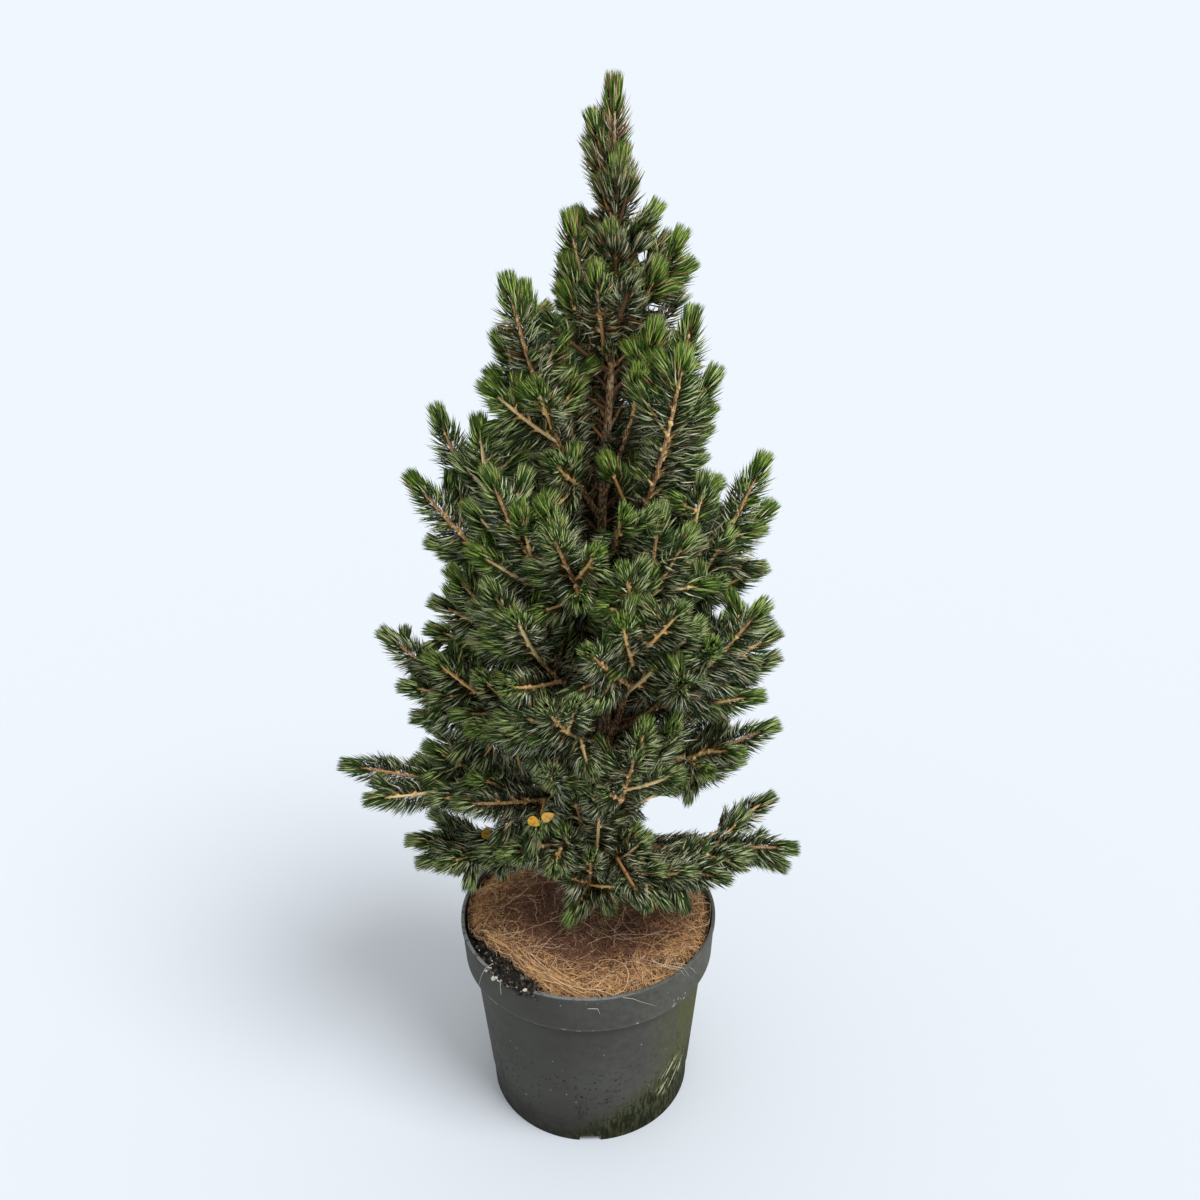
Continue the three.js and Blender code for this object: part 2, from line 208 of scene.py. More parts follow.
pot = turned(POT_PROFILE, 144)
hard = [edge for edge in pot.edges if edge.calc_face_angle(0) > math.radians(20)]
bmesh.ops.bevel(pot, geom=hard, offset=MOULDED_EDGE, segments=2, profile=0.5, affect="EDGES",
                clamp_overlap=True, material=-1)
pot = piece_from(pot, "moulded_pot", smooth_below=30)
slots = bmesh.new()
for number in range(SLOTS):
    place = Matrix.Rotation(number * math.tau / SLOTS, 4, "Z") @ Matrix.Translation((SLOT_MIDDLE, 0, 0))
    bmesh.ops.create_cube(slots, size=1, matrix=place @ Matrix.Diagonal((*SLOT, 1)))
slots = piece_from(slots, "slot_cutters")
cut = pot.modifiers.new("slots", "BOOLEAN")
cut.operation, cut.solver, cut.object = "DIFFERENCE", "EXACT", slots
slotted = bpy.data.meshes.new_from_object(pot.evaluated_get(bpy.context.evaluated_depsgraph_get()))
pot.modifiers.clear()
pot.data = slotted
bpy.data.objects.remove(slots)

plastic, shader = new_material("dusty_grey_plastic")
at = object_coordinates(shader)
x, _, z = put("SeparateXYZ", {0: at}).outputs
colour = blend(patches(at, 22, 0.35, 0.7), *PLASTIC)
# A film of dust, with painted light where the key light falls, pales the right side and the band,
# and dirt darkens the foot of the wall.
dust_and_lit_side = times(scaled(patches(at, 190, 0.30, 0.70), 0.10, 0.06), rising(x, -0.060, 0.075))
dust_and_lit_side = times(dust_and_lit_side, scaled(rising(z, BAND_FOOT - 0.0010, BAND_FOOT), 0.5, 1.0))
colour = blend(dust_and_lit_side, colour, DUST_AND_PAINTED_LIGHT)
colour = blend(times(rising(z, 0.050, 0.002), 0.62), colour, DIRT)
# The lip's top is scuffed pale, most on the left, and so are a few spots on the band's lower edge,
# along which a faint pale line is painted highlight.
lip = times(rising(z, 0.1542, 0.1549), rising(from_axis(at), 0.0926, 0.0934))
worn = scaled(rising(x, 0.060, 0.0), 0.32, 0.10)
worn = times(worn, scaled(patches(at, 260, 0.36, 0.50), 0.8, 0.2))
colour = blend(times(lip, worn), colour, WORN_LIP)
# The faint pale line all along the band's lower edge is painted highlight; the patches on it are scuffs.
scuffs_and_edge_highlight = scaled(patches(at, 75, 0.56, 0.64), 0.40, 0.06)
scuffs_and_edge_highlight = times(scuffs_and_edge_highlight, within(z, 0.1238, 0.1244, 0.1250, 0.1268))
chips = times(specks(at, 300, 0.64, 0.74), patches(at, 70, 0.50, 0.58))
chips = times(chips, within(z, 0.1240, 0.1246, 0.1275, 0.1345))
scuffs_and_edge_highlight = maths("MAXIMUM", scuffs_and_edge_highlight, times(chips, rising(x, 0.0, 0.030)))
colour = blend(scuffs_and_edge_highlight, colour, SCUFFED_AND_EDGE_HIGHLIGHT)
# Painted shade darkens the wall just under the band, where the band overhangs it.
colour = blend(times(within(z, 0.108, 0.1225, 0.1236, 0.1242), 0.42), colour, PAINTED_SHADE_UNDER_BAND)
# Algae grows on the right side, and creeps along the foot of the wall towards the front.
low_reach = scaled(z, -1.30, 0.074)
towards = maths("ADD", x, maths("MAXIMUM", low_reach, 0.0))
algae = times(rising(towards, 0.036, 0.080), rising(z, 0.149, 0.095))
low_down = rising(z, 0.066, 0.026)
mottled = scaled(patches(stretched(at, (1, 1, 0.35)), 110, 0.34, 0.62), 0.50, 0.50)
colour = blend(times(algae, mottled), colour, blend(low_down, ALGAE_ABOVE, ALGAE_BELOW))
streaks = patches(stretched(at, (1, 1, 0.20)), 460, 0.43, 0.56)
streaks = times(streaks, scaled(low_down, 0.74, 0.22))
colour = blend(times(algae, streaks), colour, ALGAE_STREAK)
# Pale scratches fan down across the thickest algae.
from_middle = put("VectorMath", {0: at, 1: SCRATCHES_MIDDLE}, operation="DISTANCE").outputs["Value"]
slant = {"Vector": at, "Rotation": (0, math.radians(36), math.radians(42)), "Scale": (1, 1, 18)}
slanting = put("Mapping", slant, vector_type="TEXTURE").outputs["Vector"]
scratched = times(patches(slanting, 560, 0.57, 0.62), rising(from_middle, 0.0210, 0.0120))
colour = blend(scratched, colour, SCRATCHED)
# Splashes of wet soil: dark drips and specks on the wall, and mud along the bottom edge.
drips = patches(stretched(at, (1, 1, 0.06)), 260, 0.63, 0.68)
drips = times(drips, rising(z, 0.075, 0.012))
spots = times(specks(at, 240, 0.60, 0.72), patches(at, 340, 0.49, 0.55))
spots = times(spots, times(patches(at, 26, 0.42, 0.52), rising(z, 0.100, 0.055)))
mud = times(rising(z, 0.022, 0.001), patches(at, 130, 0.38, 0.55))
soiled = maths("MAXIMUM", maths("MAXIMUM", drips, spots), times(mud, 0.75))
colour = blend(times(soiled, 0.85), colour, WET_SOIL)
pale_specks = specks(stretched(at, (1.1, 0.9, 1)), 105, 0.935, 0.955)
colour = blend(times(pale_specks, 0.8), colour, PALE_SPECK)
rough = scaled(patches(at, 45, 0.3, 0.7), 0.14, 0.58)
rough = maths("ADD", rough, times(algae, 0.25), clamp=True)
relief = maths("ADD", times(noisy(at, 900, 3), 0.5), maths("ADD", soiled, algae))
relief = scaled(noisy(stretched(at, (1, 1, 2.2)), 26, 1), 4.0, relief)
feed(shader, {"Base Color": colour, "Roughness": rough, "Specular IOR Level": PLASTIC_GLOSS,
              "Normal": raised(relief, 0.45, 0.0003)})
pot.data.materials.append(plastic)
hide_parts("pot")
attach(pot, "root")

# -------- the potting soil
# Black peat compost that fills the pot to just under its lip. It shows at the front left, where
# the mat is drawn back, as loose crumbs with grains of white perlite, some spilt onto the lip.
SOIL_TOP = 0.144
SOIL_FOOT = 0.0033
SOIL_EDGE = 0.0913
SOIL_BUMPS = 0.0022
PEAT = ((0.009, 0.008, 0.007), (0.035, 0.024, 0.017))
# Where the crumbs lie: how many, their middle bearing and its spread, from and to which distance from
# the axis, from and to which height, from and to which size, and the odds of each shade.
CRUMBS = [
    (1700, 224, 15, 0.0700, 0.0915, 0.1440, 0.1520, 0.0005, 0.0018, (0.68, 0.20, 0.10, 0.02)),
    (650, 235, 6.5, 0.0870, 0.0962, 0.1530, 0.1572, 0.0005, 0.0015, (0.70, 0.18, 0.10, 0.02)),
    (13, 230, 4.5, 0.0952, 0.0966, 0.1525, 0.1555, 0.0009, 0.0016, (0.0, 0.0, 0.30, 0.70)),
    (14, 241, 3.5, 0.0950, 0.0963, 0.1500, 0.1550, 0.0006, 0.0010, (0.0, 0.20, 0.40, 0.40)),
    (60, 240, 5.0, 0.0950, 0.0961, 0.1480, 0.1545, 0.0004, 0.0008, (0.60, 0.30, 0.10, 0.0)),
]

soil = turned([(0, SOIL_FOOT), (0.0744, SOIL_FOOT), (0.0855, 0.1266), (SOIL_EDGE, 0.1266)]
              + [(SOIL_EDGE * (1 - step / 22), SOIL_TOP) for step in range(23)], 120)
for corner in soil.verts:
    if corner.co.z > SOIL_TOP - 1e-5 and corner.co.xy.length < SOIL_EDGE - 0.001:
        corner.co.z += SOIL_BUMPS * noise.fractal(corner.co * 160, 0.7, 2.1, 4)
soil = piece_from(soil, "packed_soil", smooth_below=60)
peat, shader = new_material("black_peat")
at = object_coordinates(shader)
feed(shader, {"Base Color": blend(patches(at, 260, 0.4, 0.65), *PEAT), "Roughness": 0.95,
              "Normal": raised(noisy(at, 420, 6), 0.9, 0.0012)})
soil.data.materials.append(peat)
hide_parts("potting_soil")
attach(soil, "root")


def plain_materials(roughness, gloss, colours):
    """Materials of one plain colour each, from their names and colours."""
    made = []
    for name, colour in colours.items():
        material, shader = new_material(name)
        feed(shader, {"Base Color": (*colour, 1), "Roughness": roughness, "Specular IOR Level": gloss})
        made.append(material)
    return made


def joined(name, points, triangles, shades, materials, slot):
    """One piece of many small closed shapes. Each shape, or each triangle, has a shade, which is the
    number of its material."""
    mesh = bpy.data.meshes.new(name)
    mesh.vertices.add(len(points))
    mesh.vertices.foreach_set("co", np.asarray(points, np.float32).ravel())
    mesh.loops.add(len(triangles) * 3)
    mesh.loops.foreach_set("vertex_index", np.asarray(triangles, np.int32).ravel())
    mesh.polygons.add(len(triangles))
    mesh.polygons.foreach_set("loop_start", np.arange(0, len(triangles) * 3, 3, dtype=np.int32))
    for made in materials:
        mesh.materials.append(made)
    shades = np.repeat(np.asarray(shades, np.int32), len(triangles) // len(shades))
    mesh.polygons.foreach_set("material_index", shades)
    mesh.update()
    mesh.validate()
    piece = in_scene(name, mesh)
    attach(piece, "root")
    return piece


def copies(faces, count, corners):
    """The triangles of many shapes of one kind, each with so many corner points of its own."""
    triangles = np.array(faces)[None] + (np.arange(count) * corners)[:, None, None]
    return triangles.reshape(-1, 3)


def lumps_at(centres, sizes, random, unevenness=0.3):
    """Corner points and triangles of small uneven lumps, one at each centre. sizes is (lumps, 3)."""
    ball = bmesh.new()
    bmesh.ops.create_icosphere(ball, subdivisions=1, radius=1)
    shape = np.array([corner.co[:] for corner in ball.verts])
    faces = [[corner.index for corner in face.verts] for face in ball.faces]
    ball.free()
    uneven = 1 + unevenness * random.uniform(-1, 1, (len(centres), len(shape), 1))
    points = centres[:, None, :] + shape[None] * uneven * sizes[:, None, :]
    return points.reshape(-1, 3), copies(faces, len(centres), len(shape))


def around(bearing, radius, height):
    """Points at the given bearings, distances from the pot's axis and heights."""
    flat = [radius * np.cos(bearing), radius * np.sin(bearing)]
    return np.stack([*flat, np.broadcast_to(height, np.shape(bearing))], axis=-1)


PEAT_SHADES = plain_materials(0.95, 0.4, {
    "peat_black": (0.012, 0.011, 0.009), "peat_brown": (0.060, 0.040, 0.026),
    "peat_grey": (0.135, 0.120, 0.095)}) + plain_materials(0.8, 0.4, {"perlite": (0.66, 0.63, 0.54)})
random = np.random.default_rng(11)
centres, sizes, shades = [], [], []
for count, bearing, spread, near, far, low, high, least, most, odds in CRUMBS:
    bearings = np.radians(bearing + spread * random.normal(0, 1, count).clip(-1.8, 1.8))
    centres.append(around(bearings, random.uniform(near, far, count), random.uniform(low, high, count)))
    sizes.append(random.uniform(least, most, (count, 1)) * random.uniform(0.7, 1.3, (count, 3)))
    shades.append(random.choice(len(PEAT_SHADES), count, p=odds))
points, triangles = lumps_at(np.vstack(centres), np.vstack(sizes), random, 0.5)
joined("soil_crumbs", points, triangles, np.concatenate(shades), PEAT_SHADES, "soil")

# -------- the coconut fibre mat
# A felted disk of coir on the soil, domed in the middle and rubbed loose on top: straight and
# curled fibres lie on it in a tangle, golden near the lip and purple-brown in the middle.
# It lies under its own weight round the trunk, drawn back from the lip at the front left.
MAT_EDGE = 0.0895
MAT_CREST = 0.1565
MAT_FOOT = 0.1445
FELT_DEPTH = 0.0012
FELT_BUMPS = 0.0009
DRAWN_BACK = 0.014
DRAWN_AT = math.radians(222)
DRAWN_SPREAD = math.radians(30)
# Each pair holds the felt's own dark, deepened into painted shade in the gaps between fibres, and its
# fibres' colour.
FELT_MIDDLE = ((0.030, 0.013, 0.009), (0.190, 0.105, 0.075))
FELT_OUTER = ((0.045, 0.021, 0.011), (0.48, 0.285, 0.130))
# Each kind of fibre: how many, stations along each, shortest and longest, how tightly it curls (turns a
# metre), its least and greatest radius, how high it lies on the mat and arches, and how many are pale.
FIBRES = {
    "short": (4300, 7, 0.010, 0.030, 25, 0.00016, 0.00030, (-0.0006, 0.0016), 0.0016, 0.06),
    "curled": (6400, 5, 0.006, 0.014, 150, 0.00014, 0.00026, (-0.0004, 0.0019), 0.0012, 0.10),
    "long": (150, 16, 0.030, 0.070, 36, 0.00017, 0.00027, (0.0012, 0.0030), 0.0035, 0.55),
}
# A hank of straight golden strands along the mat's front left edge, where it was drawn back.
HANK_STRANDS = 300
HANK_STATIONS = 9
HANK_ROUTE = np.array([(-0.072, -0.026), (-0.056, -0.042), (-0.036, -0.066), (-0.004, -0.0895)])
HANK_SPREAD = 0.0034
HANK_SLANT = 0.0030
# Stray fibres over the lip and on the band: the radius of each in millimetres, and its points as the
# bearing in degrees, and the distance from the axis and height in millimetres.
STRAYS = [
    (0.22, [(222.5, 90.5, 157.0), (221.6, 96.4, 154.5), (218.0, 96.4, 143.0), (214.5, 95.6, 130.0)]),
    (0.42, [(231.8, 90.0, 157.0), (231.4, 96.8, 154.8), (230.9, 96.5, 148.0), (230.7, 95.8, 140.5)]),
    (0.30, [(270.0, 95.3, 147.2), (272.0, 95.3, 147.2), (274.1, 95.3, 146.8), (275.1, 95.0, 141.8)]),
    (0.24, [(284.5, 96.2, 154.8), (288.9, 95.9, 151.3), (292.3, 95.5, 146.4), (299.7, 95.0, 136.8)]),
    (0.26, [(302.0, 70.0, 158.5), (308.8, 86.0, 159.0), (314.5, 95.0, 157.0), (317.8, 96.6, 146.5)]),
    (0.20, [(304.0, 78.0, 158.0), (310.0, 90.0, 158.0), (313.0, 95.5, 156.5), (314.5, 96.8, 151.0)]),
    (0.22, [(312.0, 86.0, 158.0), (316.5, 93.0, 157.0), (320.0, 96.8, 150.5), (323.4, 96.4, 142.0)]),
]
MM = 0.001


def mat_height(bearing, radius):
    """The top of the mat: a low dome that rolls over at its edge, with soft bumps."""
    share = np.clip(radius / MAT_EDGE, 0, 1)
    dome = MAT_CREST - 0.0045 * share**2 - 0.0035 * np.clip(share - 0.9, 0, 1) / 0.1
    return dome + 0.0009 * np.sin(bearing * 4 + radius * 90) + 0.0005 * np.sin(bearing * 11 - radius * 210)


def mat_reach(bearing):
    """How far out the mat lies: ragged, and drawn back where the soil is bare."""
    off = np.abs((bearing - DRAWN_AT + math.pi) % math.tau - math.pi)
    drawn = np.cos(np.clip(off / DRAWN_SPREAD, 0, 1) * math.pi / 2)
    ragged = 0.0008 * np.sin(bearing * 5 + 1) + 0.0006 * np.sin(bearing * 9)
    return MAT_EDGE + ragged - drawn * (DRAWN_BACK + 0.0016 * np.sin(bearing * 34))


felt = turned([(0, MAT_FOOT), (MAT_EDGE, MAT_FOOT)]
              + [(MAT_EDGE * (1 - step / 20), 0.150) for step in range(21)], 112)
for corner in felt.verts:
    on_top = corner.co.z > 0.149
    radius = corner.co.xy.length
    if radius > 1e-6:
        bearing = math.atan2(corner.co.y, corner.co.x)
        corner.co.xy = corner.co.xy * (float(mat_reach(np.float64(bearing))) / MAT_EDGE)
        if on_top:
            corner.co.z = float(mat_height(bearing, radius)) - FELT_DEPTH
            corner.co.z += FELT_BUMPS * noise.fractal(corner.co * 240, 0.7, 2.1, 3)
    elif on_top:
        corner.co.z = MAT_CREST - FELT_DEPTH
felt = piece_from(felt, "coir_felt", smooth_below=70)
coir, shader = new_material("felted_coir")
at = object_coordinates(shader)
# Fibres cross the felt in streaks, and the dark between them is partly painted shade.
crossing = maths("MAXIMUM", patches(stretched(at, (1, 0.12, 1)), 900, 0.44, 0.62),
                 patches(stretched(at, (0.12, 1, 1)), 900, 0.44, 0.62))
outwards = maths("ADD", rising(from_axis(at), 0.045, 0.085),
                 scaled(patches(at, 35, 0.3, 0.7), 0.6, -0.3), clamp=True)
colour = blend(outwards, blend(crossing, *FELT_MIDDLE), blend(crossing, *FELT_OUTER))
feed(shader, {"Base Color": colour, "Roughness": 0.9, "Specular IOR Level": 0.2,
              "Normal": raised(crossing, 1.0, 0.0010)})
felt.data.materials.append(coir)
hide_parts("coir_mat")
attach(felt, "root")


def unit(vectors):
    return vectors / np.maximum(np.linalg.norm(vectors, axis=-1, keepdims=True), 1e-12)


def tubes(lines, radii, sides, up):
    """Corner points and triangles of closed tubes. lines is (tubes, stations, 3), radii (tubes,
    stations), and up a direction that no line follows, or one for each tube."""
    count, stations, _ = lines.shape
    ahead = unit(np.gradient(lines, axis=1))
    across = unit(np.cross(ahead, up))
    over = np.cross(across, ahead)
    angle = np.arange(sides) * math.tau / sides
    ring = across[:, :, None] * np.cos(angle)[:, None] + over[:, :, None] * np.sin(angle)[:, None]
    rings = lines[:, :, None] + ring * radii[:, :, None, None]
    points = np.concatenate([rings.reshape(count, -1, 3), lines[:, :1], lines[:, -1:]], axis=1)
    faces = []
    for side in range(sides):
        after = (side + 1) % sides
        for station in range(stations - 1):
            here, there = station * sides, (station + 1) * sides
            faces += [(here + side, there + side, there + after), (here + side, there + after, here + after)]
        last = (stations - 1) * sides
        faces += [(stations * sides, side, after), (stations * sides + 1, last + after, last + side)]
    return points.reshape(-1, 3), copies(faces, count, points.shape[1])


COIR_SHADES = plain_materials(0.75, 0.3, {
    "coir_golden": (0.96, 0.600, 0.270), "coir_tan": (0.68, 0.390, 0.185),
    "coir_brown": (0.34, 0.160, 0.082), "coir_plum": (0.215, 0.103, 0.075),
    "coir_pale": (0.90, 0.68, 0.43), "coir_bleached": (0.62, 0.59, 0.50),
})


def laid(name, lines, thickness, shade):
    """Fibres as one piece: tapering three-sided tubes, each in one shade."""
    tapering = thickness * np.linspace(1, 0.55, lines.shape[1])
    joined(name, *tubes(lines, tapering, 3, (0, 0, 1)), shade, COIR_SHADES, "coir")


random = np.random.default_rng(23)
# Fibres strewn over the mat. Golden ones lie near its edge, and purple-brown ones in its middle.
for kind, (count, stations, shortest, longest, curl, least, most, lie, arching, pale) in FIBRES.items():
    bearing = random.uniform(0, math.tau, count)
    radius = np.sqrt(random.uniform(0.01, 1.0, count)) * (mat_reach(bearing) - 0.001)
    turning = random.normal(0, curl, count)
    facing = random.uniform(0, math.tau, count)
    step = random.uniform(shortest, longest, count) / (stations - 1)
    spot = around(bearing, radius, 0)[:, :2]
    lines = np.zeros((count, stations, 3))
    for station in range(stations):
        lines[:, station, :2] = spot
        spot = spot + np.stack([np.cos(facing), np.sin(facing)], axis=-1) * step[:, None]
        facing = facing + turning * step + random.normal(0, 0.18, count)
        turning = turning + random.normal(0, curl * 0.35, count)
    away = np.linalg.norm(lines[:, :, :2], axis=-1)
    bearing = np.arctan2(lines[:, :, 1], lines[:, :, 0])
    reach = mat_reach(bearing) + 0.0022
    lines[:, :, :2] *= np.minimum(1, reach / np.maximum(away, 1e-6))[:, :, None]
    arch = np.sin(np.linspace(0, math.pi, stations)) * random.uniform(0, arching, (count, 1))
    on_mat = mat_height(bearing, np.minimum(away, reach))
    lines[:, :, 2] = on_mat + random.uniform(*lie, (count, 1)) + arch
    lines[:, :, 2] += random.normal(0, 0.0002, (count, stations))
    golden = 0.80 * np.clip((radius - 0.045) / 0.040, 0, 1) + random.normal(0, 0.36, count)
    shade = np.select([golden > 0.85, golden > 0.50, golden > 0.15], [0, 1, 2], 3)
    shade = np.where(random.uniform(0, 1, count) < pale, 4, shade)
    laid(f"coir_{kind}_fibres", lines, random.uniform(least, most, (count, 1)), shade)

along = np.linspace(0, 1, HANK_STATIONS)
share = random.uniform(0, 0.75, (HANK_STRANDS, 1))
share = share + along * random.uniform(0.12, 0.34, (HANK_STRANDS, 1))
share = np.clip(share, 0, 1) * (len(HANK_ROUTE) - 1)
lines = np.zeros((HANK_STRANDS, HANK_STATIONS, 3))
for side in (0, 1):
    lines[:, :, side] = np.interp(share, np.arange(len(HANK_ROUTE)), HANK_ROUTE[:, side])
scatter = random.normal(0, HANK_SPREAD, (HANK_STRANDS, 1, 2))
lines[:, :, :2] += scatter + random.normal(0, 0.0003, (HANK_STRANDS, HANK_STATIONS, 2))
slant = random.normal(0, HANK_SLANT, (HANK_STRANDS, 1, 2))
lines[:, :, :2] += slant * np.linspace(-1, 1, HANK_STATIONS)[:, None]
lie = random.uniform(-0.0045, 0.0012, (HANK_STRANDS, 1))
lines[:, :, 2] = MAT_CREST + lie - np.linspace(0, 0.0012, HANK_STATIONS)
thickness = random.uniform(0.00018, 0.00030, (HANK_STRANDS, 1))
laid("coir_hank", lines, thickness, random.choice((0, 0, 1, 1, 2, 4), HANK_STRANDS))

thickness, strays = (np.array(part) for part in zip(*STRAYS))
lines = around(np.radians(strays[:, :, 0]), strays[:, :, 1] * MM, strays[:, :, 2] * MM)
laid("coir_stray_fibres", lines, thickness[:, None] * MM, np.full(len(STRAYS), 5))

# -------- the trunk
# One woody stem that leans a little, from a slight flare on the compost up to the leader. Its
# bark is grey-brown and scaly below, and smoother and orange-brown towards the top.
TRUNK_TIP_RADIUS = 0.0010
TRUNK_TAPER = 0.0050
FLARE_WIDTH = 0.0034
FLARE_HEIGHT = 0.013
TRUNK_RELIEF = 0.00045
# How far the trunk's middle stands to the right of the pot's axis and to the back, at each height.
TRUNK_ROUTE = np.array([
    (8, 0, 144.3), (14, -2, 290), (12, 0, 464), (19, 0, 559), (22.5, 0, 622), (21, 0, 704),
]) * MM
TRUNK_FOOT, TRUNK_TIP = TRUNK_ROUTE[0, 2], TRUNK_ROUTE[-1, 2]


def trunk_axis(height):
    """The trunk's middle at a height. Averaging over a short stretch rounds the route's corners."""
    near = np.asarray(height)[..., None] + np.linspace(-0.03, 0.03, 9)
    x, y = (np.interp(near, TRUNK_ROUTE[:, 2], TRUNK_ROUTE[:, side]).mean(-1) for side in (0, 1))
    return np.stack([x, y, np.asarray(height, float)], axis=-1)


def trunk_radius(height):
    climbed = (height - TRUNK_FOOT) / (TRUNK_TIP - TRUNK_FOOT)
    flare = FLARE_WIDTH * np.exp((TRUNK_FOOT - height) / FLARE_HEIGHT)
    return TRUNK_TIP_RADIUS + TRUNK_TAPER * (1 - climbed) ** 1.15 + flare


def stem(name, centres, radii, sides, relief, material):
    """A woody stem: a grid rolled up round its centre line, with bark raised by noise."""
    made = bmesh.new()
    bmesh.ops.create_grid(made, x_segments=sides, y_segments=len(centres) - 1, size=0.5)
    ahead = unit(np.gradient(centres, axis=0))
    across = unit(np.cross(ahead, (0, 0, 1) if abs(ahead[0, 2]) < 0.9 else (0, 1, 0)))
    over = np.cross(across, ahead)
    for corner in made.verts:
        station = round((corner.co.y + 0.5) * (len(centres) - 1))
        angle = round((corner.co.x + 0.5) * sides) % sides * math.tau / sides
        outwards = Vector(across[station] * math.cos(angle) + over[station] * math.sin(angle))
        on_bark = Vector(centres[station]) + outwards * radii[station]
        ridges = noise.fractal(Vector((on_bark.x * 420, on_bark.y * 420, on_bark.z * 130)), 0.8, 2.2, 4)
        corner.co = on_bark + outwards * min(relief, radii[station] * 0.15) * ridges
    bmesh.ops.remove_doubles(made, verts=made.verts, dist=1e-6)
    bmesh.ops.holes_fill(made, edges=[edge for edge in made.edges if edge.is_boundary], sides=0)
    bmesh.ops.recalc_face_normals(made, faces=made.faces)
    piece = piece_from(made, name, smooth_below=75)
    piece.data.materials.append(material)
    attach(piece, "root")
    return piece


def bark_material(name, young, old, flaked, cracks, grows, change_from, change_to, wander):
    """Bark that turns from the old colour into the young one between two distances from its foot, up
    the trunk or outwards from it, as grows says."""
    made, shader = new_material(name)
    at = object_coordinates(shader)
    centred = {"Vector": at, "Location": (-0.013 * grows[0], 0, 0), "Scale": grows}
    grown = length_along(put("Mapping", centred).outputs[0])
    grown = maths("ADD", grown, scaled(noisy(at, 60, 2), wander, -wander / 2))
    flakes = patches(stretched(at, (1, 1, 0.45)), 760, 0.47, 0.55)
    gaps = patches(stretched(at, (1, 1, 0.35)), 980, 0.53, 0.61)
    colour = blend(rising(grown, change_from, change_to), old, young)
    colour = blend(times(flakes, 0.75), colour, flaked)
    colour = blend(times(gaps, 0.8), colour, cracks)
    feed(shader, {"Base Color": colour, "Roughness": 0.82, "Specular IOR Level": 0.25,
                  "Normal": raised(maths("SUBTRACT", flakes, gaps), 0.8, 0.0005)})
    return made


TRUNK_BARK = bark_material(
    "trunk_bark", (0.40, 0.220, 0.100), (0.20, 0.125, 0.075), (0.74, 0.54, 0.34), (0.030, 0.017, 0.011),
    grows=(0, 0, 1), change_from=0.42, change_to=0.62, wander=0.12)
heights = TRUNK_FOOT + (TRUNK_TIP - TRUNK_FOOT) * np.linspace(0, 1, 320) ** 1.15
trunk = stem("trunk_bark", trunk_axis(heights), trunk_radius(heights), sides=22,
             relief=TRUNK_RELIEF, material=TRUNK_BARK)
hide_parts("trunk")

# -------- the boughs
# Limbs of the first and second order, some bare at the foot and the rest in needle from the
# trunk. They are woody, orange-brown and rough with the pegs that fallen needles leave behind.
LIMB_RELIEF = 0.00028
LIMB_STATION = 0.0025
COLLAR_SWELLING = 0.35
COLLAR_LENGTH = 0.008
TWIG_TIP = 0.00098
TWIG_TAPER = 0.0068
TIP_NEEDLES = 0.0145
SHOOT_SAG = 0.06
